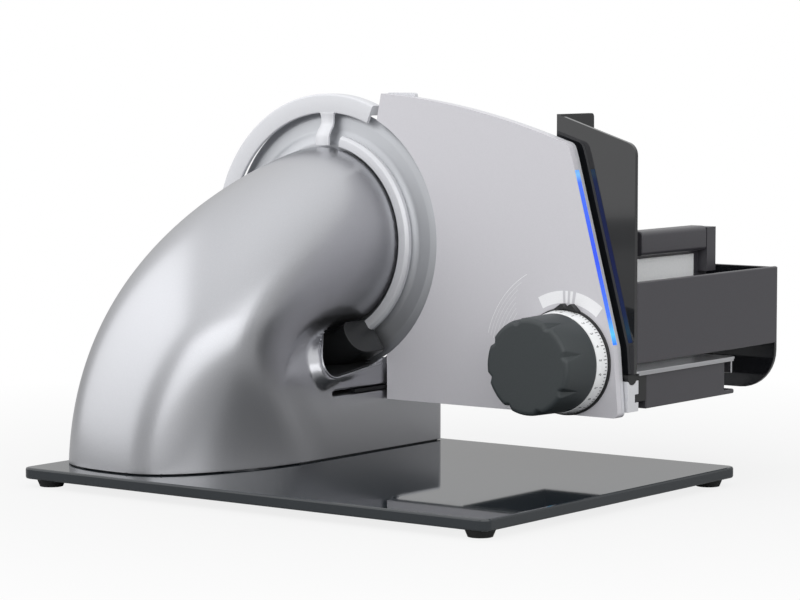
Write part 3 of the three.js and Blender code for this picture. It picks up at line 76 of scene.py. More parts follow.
# Camera: a long lens on a stand, a little higher than the slicer, looking at the motor side.
camera_data = bpy.data.cameras.new("camera")
camera_data.sensor_width = 36
camera_data.lens = 137.76
camera = bpy.data.objects.new("camera", camera_data)
camera.location = spot(1139.4, -1499.8, 273.9)
camera.rotation_euler = Vector((-0.5975, 0.7975, -0.0837)).to_track_quat("-Z", "Y").to_euler()
bpy.context.scene.collection.objects.link(camera)
bpy.context.scene.camera = camera


# Studio: a white table, a pale wall behind, and two large soft boxes under a pale cloth tent.
# The wall reads as white to the camera. Metal and glass mirror it as a grey that gets brighter upwards.
def soft_box(name, place, aim, width, height, radiance):
    """Area lamp that the camera does not see, turned to its aim."""
    lamp = bpy.data.lights.new(name, "AREA")
    lamp.shape = "RECTANGLE"
    lamp.size, lamp.size_y = width, height
    lamp.energy = radiance * math.pi * width * height
    light = bpy.data.objects.new(name, lamp)
    light.location = spot(*place)
    light.rotation_euler = (spot(*aim) - spot(*place)).to_track_quat("-Z", "Y").to_euler()
    light.visible_camera = False
    bpy.context.scene.collection.objects.link(light)


soft_box("soft_box_left", (-1260, -872, 830), (-60, 0, 120), 2.0, 1.75, 0.96)
soft_box("soft_box_right", (1420, -1240, 830), (-60, 0, 120), 3.1, 1.5, 1.38)

world = bpy.data.worlds.new("studio")
bpy.context.scene.world = world
world.use_nodes = True
world.node_tree.nodes.clear()
rays = add_node(world, "ShaderNodeLightPath")
seen = add_node(world, "ShaderNodeMath", {0: rays.outputs["Is Camera Ray"], 1: rays.outputs["Is Transmission Ray"]},
                operation="MAXIMUM")
around = add_node(world, "ShaderNodeTexCoord")
height = add_node(world, "ShaderNodeSeparateXYZ", {0: around.outputs["Generated"]})
tent = add_node(world, "ShaderNodeMapRange", {0: height.outputs[2], 1: 0.0, 2: 1.0, 3: 0.48, 4: 1.4})
level = add_node(world, "ShaderNodeMath", {0: seen.outputs[0], 1: tent.outputs[0]}, operation="MAXIMUM")
wall = add_node(world, "ShaderNodeBackground", {"Color": linear("#ffffff"), "Strength": level.outputs[0]})
add_node(world, "ShaderNodeOutputWorld", {"Surface": wall.outputs[0]})

white_card = bpy.data.materials.new("white_card")
white_card.use_nodes = True
white_card.node_tree.nodes.clear()
rays = add_node(white_card, "ShaderNodeLightPath")
matt = add_node(white_card, "ShaderNodeBsdfDiffuse", {"Color": linear("#b0b0b0")})
glow = add_node(white_card, "ShaderNodeEmission", {"Color": linear("#ffffff"), "Strength": 1.0})
where = add_node(white_card, "ShaderNodeTexCoord")
reach = add_node(white_card, "ShaderNodeVectorMath", {0: where.outputs["Object"]}, operation="LENGTH")
fade = add_node(white_card, "ShaderNodeMapRange", {0: reach.outputs["Value"], 1: 0.2, 2: 0.62, 3: 0.82, 4: 1.0})
share = add_node(white_card, "ShaderNodeMath", {0: rays.outputs["Is Camera Ray"], 1: fade.outputs[0]},
                 operation="MULTIPLY")
card = add_node(white_card, "ShaderNodeMixShader", {0: share.outputs[0], 1: matt.outputs[0], 2: glow.outputs[0]})
add_node(white_card, "ShaderNodeOutputMaterial", {"Surface": card.outputs[0]})
floor_mesh = bpy.data.meshes.new("floor")
floor_mesh.from_pydata([spot(x, y, -0.05) for x, y in ((-9000, -9000), (9000, -9000), (9000, 9000), (-9000, 9000))],
                       [], [(0, 1, 2, 3)])
floor_mesh.materials.append(white_card)
floor = bpy.data.objects.new("floor", floor_mesh)
bpy.context.scene.collection.objects.link(floor)


def new_piece(name, points, faces, material, body, slot, replaced=(), smooth=40):
    """A mesh from points in millimetres, smooth shaded but for edges sharper than the given angle."""
    mesh = bpy.data.meshes.new(name)
    mesh.from_pydata([spot(*p) for p in points], [], [list(map(int, f)) for f in faces])
    mesh.validate()
    mesh.materials.append(material)
    shell = bmesh.new()
    shell.from_mesh(mesh)
    bmesh.ops.remove_doubles(shell, verts=shell.verts, dist=2e-6)
    bmesh.ops.recalc_face_normals(shell, faces=shell.faces)
    for edge in shell.edges:
        edge.smooth = len(edge.link_faces) == 2 and edge.calc_face_angle() < math.radians(smooth)
    for face in shell.faces:
        face.smooth = True
    shell.to_mesh(mesh)
    shell.free()
    piece = bpy.data.objects.new(name, mesh)
    bpy.context.scene.collection.objects.link(piece)
    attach(piece, body)
    if replaced:
        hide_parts(*replaced)
    return piece


def clad(material, *names):
    """Gives solids of the frame their material."""
    for name in names:
        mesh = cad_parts[name].data
        mesh.materials.clear()
        mesh.materials.append(material)


# Base plate: toughened smoked glass with ground edges, on four rubber buttons glued underneath.
# Smoked float glass: nearly black, mirror smooth, with the faint waviness of the float bath.
def grained(name, dark, light, scale, detail=2.0, bump=None, stretch=None, dull=None, **sockets):
    """Material that drifts between two tones in a noise, with a bump as strength and depth,
    a stretch of the noise along each axis, and a dullness from the first to the second roughness."""
    made = bpy.data.materials.new(name)
    made.use_nodes = True
    surface, links = made.node_tree.nodes["Principled BSDF"].inputs, made.node_tree.links
    for socket, value in sockets.items():
        surface[socket.replace("_", " ")].default_value = value
    where = add_node(made, "ShaderNodeTexCoord").outputs["Object"]
    if stretch:
        where = add_node(made, "ShaderNodeMapping", {0: where, "Scale": stretch}).outputs[0]
    grain = add_node(made, "ShaderNodeTexNoise", {"Vector": where, "Scale": scale, "Detail": detail}).outputs[0]
    tint = add_node(made, "ShaderNodeMix", {0: grain, 6: linear(dark), 7: linear(light)}, data_type="RGBA")
    links.new(tint.outputs[2], surface["Base Color"])
    if bump:
        relief = add_node(made, "ShaderNodeBump", {"Height": grain, "Strength": bump[0], "Distance": bump[1]})
        links.new(relief.outputs[0], surface["Normal"])
    if dull:
        rough = add_node(made, "ShaderNodeMapRange", {0: grain, 3: dull[0], 4: dull[1]})
        links.new(rough.outputs[0], surface["Roughness"])
    return made


smoked_glass = grained("smoked_float_glass", "#1f2428", "#262b2f", scale=12.0, Roughness=0.03, IOR=1.5)
clad(smoked_glass, "base_plate")

# Rubber: moulded, dull and slightly dusty, with a fine pitted skin.
rubber = grained("moulded_rubber", "#131415", "#222324", scale=900.0, detail=3.0, bump=(0.3, 0.0002), Roughness=0.75,
                 IOR=1.52)
clad(rubber, "foot_front_left", "foot_front_right", "foot_rear_left", "foot_rear_right")


# Motor housing: die cast elbow with the web under it and the pedestal of the guide rail, in one smooth shell.
# It is screwed to the glass from below, on a thin black seal.
WALL_LOW = 12.7
LEFT_FLANK, RIGHT_FLANK = -164, -46.2
BLADE_X, BLADE_Z = -92, 146.7
TUBE_END = 62
SHOULDER, SHOULDER_ROUND = 60, 36
SPOUT_MIDDLE, SPOUT_Z, SPOUT_RADIUS = 11, 80.5, 16
SPOUT_RISE, SPOUT_RISE_START, SPOUT_LEAN = 0.09, 13, 1.3
LINING_END, LINING_BACK, POCKET_BACK = 61.5, -74, -75.2
PEDESTAL_TOP, APRON_TOP = 45.5, 66.3
APRON_CLEAR, RISE_CLEAR = 88, 86.6
GROOVE_RADIUS, GROOVE_HALF, GROOVE_FLOOR = 65.6, 3.6, 58.6
COVER_RADIUS, COVER_SEAT = 55.4, 54.7
SLOT_LEFT, SLOT_Z, SLOT_HALF, SLOT_FRONT = -101, 53, 1.4, 12.3
SHELL_LOW = 10.2
SWEEP_FRONT, FOOT_SWEEP = -205, 60


def smooth_min(a, b, reach):
    """The lesser of two fields, with a fillet of the given reach where they meet."""
    share = np.clip(0.5 + 0.5 * (b - a) / np.maximum(reach, 1e-6), 0, 1)
    return b + (a - b) * share - reach * share * (1 - share)


foot, tube = np.array([-110.4, -77, 12.2]), np.array([BLADE_X, TUBE_END, BLADE_Z])
t = np.linspace(0, 1, 1601)[:, None]
elbow_line = ((1 - t) ** 3 * foot + 3 * (1 - t) ** 2 * t * (foot + [0, 0, 116])
              + 3 * (1 - t) * t * t * (tube - [0, 18, 0]) + t ** 3 * tube)
elbow_slope = np.gradient(elbow_line[:, 1:], axis=0)
elbow_slope /= np.linalg.norm(elbow_slope, axis=1)[:, None]
elbow_blend = (t * t * (3 - 2 * t))[:, 0]
elbow_waist = 3.7 * 4 * (t * (1 - t))[:, 0]
elbow_half_width = 64.3 + (60.6 - 64.3) * elbow_blend - elbow_waist
elbow_half_depth = 43.5 + (60.6 - 43.5) * elbow_blend - elbow_waist


def ramp(value, start, end):
    """Rises smoothly from 0 at the start to 1 at the end."""
    share = np.clip((value - start) / (end - start), 0, 1)
    return share * share * (3 - 2 * share)


def foot_sweep(z):
    """How far the right side of the foot runs back at a height."""
    return FOOT_SWEEP * (1 - ramp(z, 8, 108))


def spout_recess(z):
    """How far the flank falls back above the spout's middle, where it rolls into the valley."""
    return SHOULDER_ROUND - np.sqrt(SHOULDER_ROUND ** 2 - np.clip(z - SHOULDER, 0, 33) ** 2)


def spout_edge(y, z):
    """Distance in the flank from the rim of the slice spout, whose floor rises a little to the rear."""
    low = z - SPOUT_RISE * np.maximum(y - SPOUT_RISE_START, 0)
    across = np.maximum(SPOUT_MIDDLE - y + SPOUT_LEAN * spout_recess(z), 0)
    upward = np.maximum(np.abs(low - SPOUT_Z) - 0.5, 0)
    return np.hypot(across, upward) - SPOUT_RADIUS


STEP = 1.6
gx, gy, gz = np.meshgrid(np.arange(-179, -27, STEP), np.arange(-125, 136, STEP), np.arange(9, 212, STEP),
                         indexing="ij")
flat_y, flat_z = gy[0], gz[0]

# Sections go from a rounded oblong at the foot to a circle at the blade. Towards the foot the right side
# of each level sweeps back, so that it runs out into the flat flank.
early_y, early_z = np.meshgrid(np.arange(SWEEP_FRONT, 136, STEP), flat_z[0], indexing="ij")
nearest = np.array([((elbow_line[:, 1] - y) ** 2 + (elbow_line[:, 2] - z) ** 2).argmin()
                    for y, z in zip(early_y.ravel(), early_z.ravel())], float).reshape(early_y.shape)
level_x = np.interp(flat_z, elbow_line[:, 2], elbow_line[:, 0])
level_width = np.interp(flat_z, elbow_line[:, 2], elbow_half_width)
swept_y = gy - foot_sweep(flat_z) * np.clip((gx - level_x) / level_width, 0, 1.15) ** 3
row = (swept_y - SWEEP_FRONT) / STEP
low_row = np.clip(row.astype(int), 0, len(nearest) - 2)
column = np.broadcast_to(np.arange(gz.shape[2]), gz.shape)
step_along = nearest[low_row, column] + (row - low_row) * (nearest[low_row + 1, column] - nearest[low_row, column])


def along_elbow(values):
    """Values of the elbow's line, read at the nearest step for each grid point."""
    return np.interp(step_along, np.arange(len(values)), values)


v = ((gz - along_elbow(elbow_line[:, 2])) * along_elbow(elbow_slope[:, 0])
     - (swept_y - along_elbow(elbow_line[:, 1])) * along_elbow(elbow_slope[:, 1]))
half_width, half_depth = along_elbow(elbow_half_width), along_elbow(elbow_half_depth)
power = 2.4 - 0.4 * along_elbow(elbow_blend)
ring = (np.abs((gx - along_elbow(elbow_line[:, 0])) / half_width) ** power
        + np.abs(v / half_depth) ** power) ** (1 / power)
elbow = (ring - 1) * np.sqrt(half_width * half_depth)

# The spout is a lip that swells out of the right flank, widest below and to the left.
rim = spout_edge(flat_y, flat_z)


def lip_proud(y, z):
    """How far the lip stands out of the flank, less to the rear and above."""
    return 5 * (1 - 0.8 * ramp(y, 12, 44)) * (1 - ramp(z, 84, 100))


lip_width = 4.2 + 4.5 * ramp(-flat_y, -14, 0)
lip = lip_proud(flat_y, flat_z) * np.clip(1.6 - 1.6 * np.maximum(rim, 0) / lip_width, 0, 1)

# The web starts at the elbow's widest point, with its flank flush there.
left_y = np.interp(flat_z, elbow_line[:, 2], elbow_line[:, 1])
start_y = left_y + foot_sweep(flat_z)
start_x = np.interp(flat_z, elbow_line[:, 2], elbow_line[:, 0] + elbow_half_width)
flank = RIGHT_FLANK + lip + (start_x - RIGHT_FLANK) * (1 - ramp(flat_y - start_y, 0, 30))
side = np.maximum(np.maximum(gx - flank[None], LEFT_FLANK - gx),
                  np.where(gx > foot[0], start_y - flat_y, left_y - flat_y))
shoulder = np.hypot(np.maximum(side + SHOULDER_ROUND, 0), np.maximum(gz - SHOULDER, 0)) - SHOULDER_ROUND
web = np.maximum(np.where(gz > SHOULDER, shoulder, side), gy - TUBE_END)

# The valley between elbow and web is filled with a wide fillet, but not where the two run side by side.
slope_a, slope_b = np.array(np.gradient(elbow, STEP)), np.array(np.gradient(web, STEP))
lean = (slope_a * slope_b).sum(axis=0) / np.maximum(
    np.linalg.norm(slope_a, axis=0) * np.linalg.norm(slope_b, axis=0), 1e-6)
body = smooth_min(elbow, web, 12 * np.clip(1 - lean, 0, 1) * ramp(gz, 56, 86) * ramp(flat_y - start_y, 2, 34))
pocket = np.maximum(rim[None], POCKET_BACK - gx)
body = -smooth_min(-body, pocket, 0.9)
body = np.minimum(body, elbow)

# Pedestal, seat of the rail on it, and the apron that closes the corner between blade and stop plate
middle, half = (LEFT_FLANK + RIGHT_FLANK) / 2, (RIGHT_FLANK - LEFT_FLANK) / 2
plan = np.hypot(np.maximum(np.abs(gx - middle) - half + 5, 0), np.maximum(np.abs(gy - 85.5) - 45.5 + 5, 0)) - 5
pedestal = -smooth_min(-plan, PEDESTAL_TOP - gz, 2)
seat = np.maximum(np.maximum(np.abs(gx - middle) - half + 4, np.abs(gy - 81) - 6), np.maximum(gz - 47.8, 30 - gz))
round_end = np.hypot(gx - BLADE_X, gz - BLADE_Z)
apron = np.maximum(np.maximum(np.abs(gx - middle) - half, np.abs(gy - 60) - 14.6),
                   np.maximum(np.maximum(gz - APRON_TOP, 30 - gz), APRON_CLEAR - round_end))
apron_rise = np.maximum(np.maximum(np.abs(gx - middle) - half, np.abs(gy - 57) - 11.6),
                        np.maximum(np.maximum(gz - APRON_TOP - 0.3 * (gy - 45.4), 60 - gz),
                                   RISE_CLEAR - round_end))
apron = np.minimum(apron, np.maximum(apron_rise, -70 - gx))
body = -smooth_min(-body, TUBE_END - gy, 1.2)
body = np.minimum(np.minimum(body, pedestal), np.minimum(seat, apron))

# Round end: groove for the guard, seat of the gearbox cover, slot of the plate carrier
body = np.maximum(body, -np.maximum(np.abs(round_end - GROOVE_RADIUS) - GROOVE_HALF, GROOVE_FLOOR - gy))
body = np.maximum(body, -np.maximum(round_end - COVER_RADIUS, COVER_SEAT - gy))
body = np.maximum(body, -np.maximum(np.maximum(SLOT_LEFT - gx, np.abs(gz - SLOT_Z) - SLOT_HALF), SLOT_FRONT - gy))
body = np.maximum(body, SHELL_LOW - gz)


def skin_of(field, low, step):
    """Closed quad skin where the field is zero: a point in each cell that the surface crosses."""
    place, total = np.zeros(tuple(n - 1 for n in field.shape) + (3,)), np.zeros(tuple(n - 1 for n in field.shape))
    crossed = []
    for axis in range(3):
        a = np.moveaxis(field, axis, 0)[:-1]
        b = np.moveaxis(field, axis, 0)[1:]
        cross = (a < 0) != (b < 0)
        share = np.where(cross, a / np.where(cross, a - b, 1), 0)
        cross, share = np.moveaxis(cross, 0, axis), np.moveaxis(share, 0, axis)
        others = [k for k in range(3) if k != axis]
        for i in (0, 1):
            for j in (0, 1):
                cut = [slice(None)] * 3
                cut[others[0]] = slice(i, field.shape[others[0]] - 1 + i)
                cut[others[1]] = slice(j, field.shape[others[1]] - 1 + j)
                hit = cross[tuple(cut)]
                offset = [0, 0, 0]
                offset[others[0]], offset[others[1]] = i, j
                point = np.stack([np.full(hit.shape, float(o)) for o in offset], axis=-1)
                point[..., axis] = share[tuple(cut)]
                place += point * hit[..., None]
                total += hit
        crossed.append((axis, others, cross))
    used = total > 0
    number = np.full(total.shape, -1)
    number[used] = np.arange(used.sum())
    corner = np.argwhere(used)
    points = (corner + place[used] / total[used][:, None]) * step + low
    faces = []
    for axis, others, cross in crossed:
        for edge in np.argwhere(cross):
            if edge[others[0]] == 0 or edge[others[1]] == 0:
                continue
            cells = []
            for i, j in ((0, 0), (1, 0), (1, 1), (0, 1)):
                cell = edge.copy()
                cell[others[0]] -= i
                cell[others[1]] -= j
                cells.append(number[tuple(cell)])
            faces.append(cells)
    return points, faces


def settle(points, field, low, step, rounds=4):
    """Moves each point along the field's slope onto the surface."""
    slopes = np.gradient(field, step)
    top = np.array(field.shape) - 2

    def read(grid, p):
        q = np.clip((p - low) / step, 0, top + 0.999)
        i = np.minimum(q.astype(int), top)
        f = q - i
        value = 0
        for dx in (0, 1):
            for dy in (0, 1):
                for dz in (0, 1):
                    weight = abs(1 - dx - f[:, 0]) * abs(1 - dy - f[:, 1]) * abs(1 - dz - f[:, 2])
                    value = value + weight * grid[i[:, 0] + dx, i[:, 1] + dy, i[:, 2] + dz]
        return value

    first = points
    for _ in range(rounds):
        value = read(field, points)
        slope = np.stack([read(s, points) for s in slopes], axis=1)
        length = np.maximum((slope ** 2).sum(axis=1), 0.25)
        points = points - np.clip(value / length, -0.5, 0.5)[:, None] * slope
    moved = points - first
    return first + moved * np.minimum(1, 0.3 / np.maximum(np.linalg.norm(moved, axis=1), 1e-6))[:, None]


grid_low = np.array([gx[0, 0, 0], gy[0, 0, 0], gz[0, 0, 0]])
shell_points, shell_faces = skin_of(body, grid_low, STEP)
shell_points = settle(shell_points, body, grid_low, STEP)

# Black acetal, also used for the spout's lining, where its black is painted shade: moulded, dull and smooth, with a
# soft sheen.
black_acetal = grained("moulded_black_acetal", "#121314", "#1b1c1e", scale=700.0, detail=3.0, bump=(0.15, 0.0001),
                       Roughness=0.42, IOR=1.48)

# Silver metallic lacquer over die cast aluminium: fine bright flake under a smooth clear coat.
# The flake gives a broad soft sheen, and the sprayed coat a very slight orange peel.
silver_paint = bpy.data.materials.new("silver_metallic_lacquer")
silver_paint.use_nodes = True
paint = silver_paint.node_tree.nodes["Principled BSDF"]
paint.inputs["Metallic"].default_value = 0.95
paint.inputs["Roughness"].default_value = 0.3
paint.inputs["Coat Weight"].default_value = 0.16
paint.inputs["Coat Roughness"].default_value = 0.2
where = add_node(silver_paint, "ShaderNodeTexCoord")
flake = add_node(silver_paint, "ShaderNodeTexVoronoi", {"Vector": where.outputs["Object"], "Scale": 2500.0})
tint = add_node(silver_paint, "ShaderNodeMix", {0: flake.outputs["Distance"], 6: linear("#a9aaae"),
                                                7: linear("#b2b3b7")}, data_type="RGBA")
silver_paint.node_tree.links.new(tint.outputs[2], paint.inputs["Base Color"])
peel = add_node(silver_paint, "ShaderNodeTexNoise", {"Vector": where.outputs["Object"], "Scale": 450.0, "Detail": 1.0})
relief = add_node(silver_paint, "ShaderNodeBump", {"Height": peel.outputs[0], "Strength": 0.05, "Distance": 0.0003})
silver_paint.node_tree.links.new(relief.outputs[0], paint.inputs["Normal"])
housing = new_piece("housing_shell", shell_points, shell_faces, silver_paint, "stand", "silver_paint",
                    ["motor_housing"], smooth=50)


def loft(points, count):
    """Faces of a capped skin over rings of so many points each."""
    faces = [(i * count + j, i * count + (j + 1) % count, (i + 1) * count + (j + 1) % count, (i + 1) * count + j)
             for i in range(len(points) // count - 1) for j in range(count)]
    return faces + [tuple(range(count)), tuple(range(len(points) - count, len(points)))]


def prism(outline, axis, near, far):
    """Slab of an outline in the two other axes, drawn out along X, Y or Z."""
    place = {"X": lambda u, v, w: (w, u, v), "Y": lambda u, v, w: (u, w, v), "Z": lambda u, v, w: (u, v, w)}[axis]
    points = [place(u, v, near) for u, v in outline] + [place(u, v, far) for u, v in outline]
    return points, loft(points, len(outline))


# Seal: a thin black gasket between shell and glass, set back a little under the shell's cut edge.
shell = bmesh.new()
shell.from_mesh(housing.data)
cut = bmesh.ops.bisect_plane(shell, geom=shell.verts[:] + shell.edges[:] + shell.faces[:],
                             plane_co=spot(0, 0, WALL_LOW), plane_no=(0, 0, -1), clear_outer=True)["geom_cut"]
SEAL_X, SEAL_Y = -105, 5
outline = [np.array((v.co - spot(0, 0, 0)) * 1000)[:2] - (SEAL_X, SEAL_Y)
           for v in cut if isinstance(v, bmesh.types.BMVert)]
bearing, reach = np.array([(math.atan2(y, x), math.hypot(x, y)) for x, y in outline]).T
around = np.linspace(-math.pi, math.pi, 361)[:-1]
even = np.interp(around, bearing[bearing.argsort()], reach[bearing.argsort()], period=2 * math.pi)
even = sum(np.roll(even, k) for k in range(-2, 3)) / 5 - 0.7
gasket = list(zip(even * np.cos(around) + SEAL_X, even * np.sin(around) + SEAL_Y))
cut_edges = [e for e in cut if isinstance(e, bmesh.types.BMEdge)]
for edge in bmesh.ops.holes_fill(shell, edges=cut_edges)["faces"][0].edges:
    edge.smooth = False
shell.to_mesh(housing.data)
shell.free()
new_piece("base_gasket", *prism(gasket, "Z", 12.02, WALL_LOW + 0.3), rubber, "stand", "rubber")

# Spout lining: a thin trough of the acetal, pushed into the spout up to just behind its rim. Its black is painted
# shade, for the dark deep inside the spout.
arc = np.radians(np.linspace(90, 270, 37))
trough_y = np.concatenate([[LINING_END, 44, 27], SPOUT_MIDDLE + SPOUT_RADIUS * np.cos(arc), [27, 44, LINING_END]])
trough_z = np.concatenate([[97] * 3, SPOUT_Z + SPOUT_RADIUS * np.sin(arc) + 0.5 * np.sign(np.sin(arc)), [64] * 3])
inward = np.concatenate([[[0, -1]] * 3, -np.stack([np.cos(arc), np.sin(arc)], axis=1), [[0, 1]] * 3])
trough_points, rim_points = [], []
for y, z, (in_y, in_z) in zip(trough_y, trough_z, inward):
    z += SPOUT_RISE * max(y - SPOUT_RISE_START, 0)
    y = min(y + SPOUT_LEAN * spout_recess(z), LINING_END)
    front = RIGHT_FLANK + lip_proud(y, z) - spout_recess(z)
    rim_points.append((front - 0.3, y - 0.4 * in_y, z - 0.4 * in_z))
    front -= 1.1
    for depth, x in ((0.1, front), (1.2, front), (1.2, LINING_BACK), (0.1, LINING_BACK)):
        trough_points.append((x, y + in_y * depth, z + in_z * depth))
new_piece("spout_shade_lining", trough_points, loft(trough_points, 4), black_acetal, "stand", "matt_black", smooth=30)
# The lining's back wall, in the same black, is painted shade too.
rear = [trough_points[4 * i + 3][1:] for i in range(len(trough_y))]
new_piece("spout_shade_rear", *prism(rear, "X", POCKET_BACK + 0.1, LINING_BACK + 0.1), black_acetal, "stand", "matt_black",
          smooth=30)

# Its rim: a rolled bead of the lacquered shell, which catches the light round the black trough.
BEAD_SIDES, BEAD_RADIUS = 10, 0.75
bead_points = []
for i, here in enumerate(rim_points):
    along = Vector(rim_points[min(i + 1, len(rim_points) - 1)]) - Vector(rim_points[max(i - 1, 0)])
    out = along.cross(Vector((1, 0, 0))).normalized()
    for j in range(BEAD_SIDES):
        angle = 2 * math.pi * j / BEAD_SIDES
        bead_points.append(Vector(here) + BEAD_RADIUS * (math.cos(angle) * out + math.sin(angle) * Vector((1, 0, 0))))
new_piece("spout_rim", bead_points, loft(bead_points, BEAD_SIDES), silver_paint, "stand", "silver_paint")

# Small mouldings of the same acetal: covers, switch, cord gland and the slider under the carriage.
clad(black_acetal, "gearbox_cover", "blade_cap", "motor_end_cap", "switch_body", "cord_gland", "rail_slider")

# Drive inside the housing: motor, gears, shafts and screws, out of sight behind the blade.
# Turned steel: fine feed marks of the lathe. Brass: the same, yellow. Zinc: dull. Nylon: milky white.
for name, code, rough, metal, solids in (
        ("turned_steel", "#b2b4b7", 0.34, 1.0, (
            "base_screw_1", "base_screw_2", "base_screw_3", "base_screw_4", "cover_screw_1",
            "cover_screw_2", "cover_screw_3", "blade_shaft", "intermediate_pin", "motor_can", "motor_rotor",
            "guide_rod_left", "guide_rod_right", "knob_spindle", "thickness_screw", "rail_screw_left",
            "rail_screw_right")),
        # The plate carrier's dark steel is painted shade, so that the narrow slot it runs in reads dark.
        ("dark_steel_slot_shade", "#232426", 0.5, 0.6, ("plate_carrier",)),
        ("turned_brass", "#b08d4a", 0.32, 1.0, ("front_bush", "rear_bush", "motor_pinion", "nut_gear")),
        ("die_cast_zinc", "#a9abae", 0.45, 0.9, ("gear_plate", "guide_bracket")),
        ("moulded_nylon", "#d9d6c9", 0.55, 0.0, ("drive_gear", "intermediate_gear"))):
    made = bpy.data.materials.new(name)
    made.use_nodes = True
    surface = made.node_tree.nodes["Principled BSDF"]
    surface.inputs["Metallic"].default_value = metal
    where = add_node(made, "ShaderNodeTexCoord")
    feed = add_node(made, "ShaderNodeTexNoise", {"Vector": where.outputs["Object"], "Scale": 1500.0, "Detail": 2.0})
    worn = [0.86 * part for part in linear(code)[:3]] + [1]
    tint = add_node(made, "ShaderNodeMix", {0: feed.outputs[0], 6: worn, 7: linear(code)}, data_type="RGBA")
    made.node_tree.links.new(tint.outputs[2], surface.inputs["Base Color"])
    dull = add_node(made, "ShaderNodeMapRange", {0: feed.outputs[0], 3: rough - 0.06, 4: rough + 0.06})
    made.node_tree.links.new(dull.outputs[0], surface.inputs["Roughness"])
    clad(made, *solids)

# Floor plate: the sheet that the base screws hold, its front right corner cut off inside the swept foot.
new_piece("floor_sheet", *prism([(-156, -77), (-70, -77), (-54.2, -58), (-54.2, 123), (-156, 123)], "Z", 12.2, 14.2),
          bpy.data.materials["turned_steel"], "stand", "machined_steel", ["floor_plate"])


# Blade: hardened steel disc, dished so that only its ground edge touches the food.
def turned(profile, x, z, steps=180):
    """Skin of a profile of radius and Y, turned about an axis along Y."""
    points, faces, count = [], [], len(profile)
    for i in range(steps):
        angle = 2 * math.pi * i / steps
        points += [(x + r * math.cos(angle), y, z + r * math.sin(angle)) for r, y in profile]
        for j in range(count):
            k = (j + 1) % count
            faces.append((i * count + j, i * count + k, (i + 1) % steps * count + k, (i + 1) % steps * count + j))
    return points, faces


def eased(profile, steps=6):
    """A smooth curve through the points of a profile."""
    made = []
    for i in range(len(profile) - 1):
        before, here, there, after = (np.array(profile[max(0, min(k, len(profile) - 1))], float)
                                      for k in range(i - 1, i + 3))
        for t in np.arange(steps) / steps:
            made.append(tuple(0.5 * (2 * here + (there - before) * t
                                     + (2 * before - 5 * here + 4 * there - after) * t * t
                                     + (3 * here - before - 3 * there + after) * t ** 3)))
    return made + [tuple(map(float, profile[-1]))]


# Blade steel: rolled stainless, ground in circles, whose fine rings dull its shine.
blade_steel = bpy.data.materials.new("ground_stainless_steel")
blade_steel.use_nodes = True
steel = blade_steel.node_tree.nodes["Principled BSDF"]
steel.inputs["Metallic"].default_value = 1.0
where = add_node(blade_steel, "ShaderNodeTexCoord")
axis = spot(BLADE_X, 0, BLADE_Z)
arm = add_node(blade_steel, "ShaderNodeVectorMath", {0: where.outputs["Object"], 1: axis}, operation="SUBTRACT")
arm = add_node(blade_steel, "ShaderNodeVectorMath", {0: arm.outputs[0], 1: (1, 0, 1)}, operation="MULTIPLY")
radius = add_node(blade_steel, "ShaderNodeVectorMath", {0: arm.outputs[0]}, operation="LENGTH")
rings = add_node(blade_steel, "ShaderNodeTexNoise", {"W": radius.outputs["Value"], "Scale": 2200.0, "Detail": 3.0},
                 noise_dimensions="1D")
tint = add_node(blade_steel, "ShaderNodeMix", {0: rings.outputs[0], 6: linear("#b4b6ba"), 7: linear("#bdbfc3")},
                data_type="RGBA")
steel_links = blade_steel.node_tree.links
steel_links.new(tint.outputs[2], steel.inputs["Base Color"])
dull = add_node(blade_steel, "ShaderNodeMapRange", {0: rings.outputs[0], 3: 0.46, 4: 0.54})
steel_links.new(dull.outputs[0], steel.inputs["Roughness"])
relief = add_node(blade_steel, "ShaderNodeBump", {"Height": rings.outputs[0], "Strength": 0.02, "Distance": 0.0001})
steel_links.new(relief.outputs[0], steel.inputs["Normal"])
near_side = [(6.3, 65.5), (60.5, 65.5)] + eased(
    [(61.5, 65.5), (63.2, 65.8), (67, 67.6), (70.2, 69.3), (73, 69.9), (79, 70.7)]) + [(82, 72.05), (84.9, 73.3)]
far_side = [(85, 73.4), (84.9, 73.5), (79, 73.4)] + eased([(73, 72.1), (70, 71.3), (66.5, 69.4), (63, 67.8),
                                                           (61, 67.5)]) + [(6.3, 67.5)]
new_piece("blade_disc", *turned(near_side + far_side, BLADE_X, BLADE_Z), blade_steel, "blade_set", "blade_steel",
          ["blade"], smooth=25)


# Blade guard: pressed aluminium, a band over the top of the edge, a spoke, and a collar round the tube.
def swept(profile, x, z, start, end, steps):
    """A closed profile of radius and Y, carried round an axis along Y from one angle to another."""
    points = []
    for i in range(steps + 1):
        angle = math.radians(start + (end - start) * i / steps)
        points += [(x + r * math.cos(angle), y, z + r * math.sin(angle)) for r, y in profile]
    return points, loft(points, len(profile))


def rounded(corners, steps=5):
    """Outline of corners given as across, up and radius, each drawn as an arc."""
    made = []
    for i, (u, v, radius) in enumerate(corners):
        here = np.array([u, v], float)
        back = np.array(corners[i - 1][:2], float) - here
        ahead = np.array(corners[(i + 1) % len(corners)][:2], float) - here
        reach_back, reach_ahead = np.linalg.norm(back), np.linalg.norm(ahead)
        back, ahead = back / reach_back, ahead / reach_ahead
        half = math.acos(max(-1, min(1, back @ ahead))) / 2
        if radius < 1e-6 or half > math.pi / 2 - 0.01:
            made.append(tuple(here))
            continue
        run = min(radius / math.tan(half), 0.49 * reach_back, 0.49 * reach_ahead)
        radius = run * math.tan(half)
        centre = here + (back + ahead) / np.linalg.norm(back + ahead) * radius / math.sin(half)
        first, last = here + back * run - centre, here + ahead * run - centre
        turn = math.atan2(first[0] * last[1] - first[1] * last[0], first @ last)
        for step in range(steps + 1):
            c, s = math.cos(turn * step / steps), math.sin(turn * step / steps)
            made.append((centre[0] + c * first[0] - s * first[1], centre[1] + s * first[0] + c * first[1]))
    return made


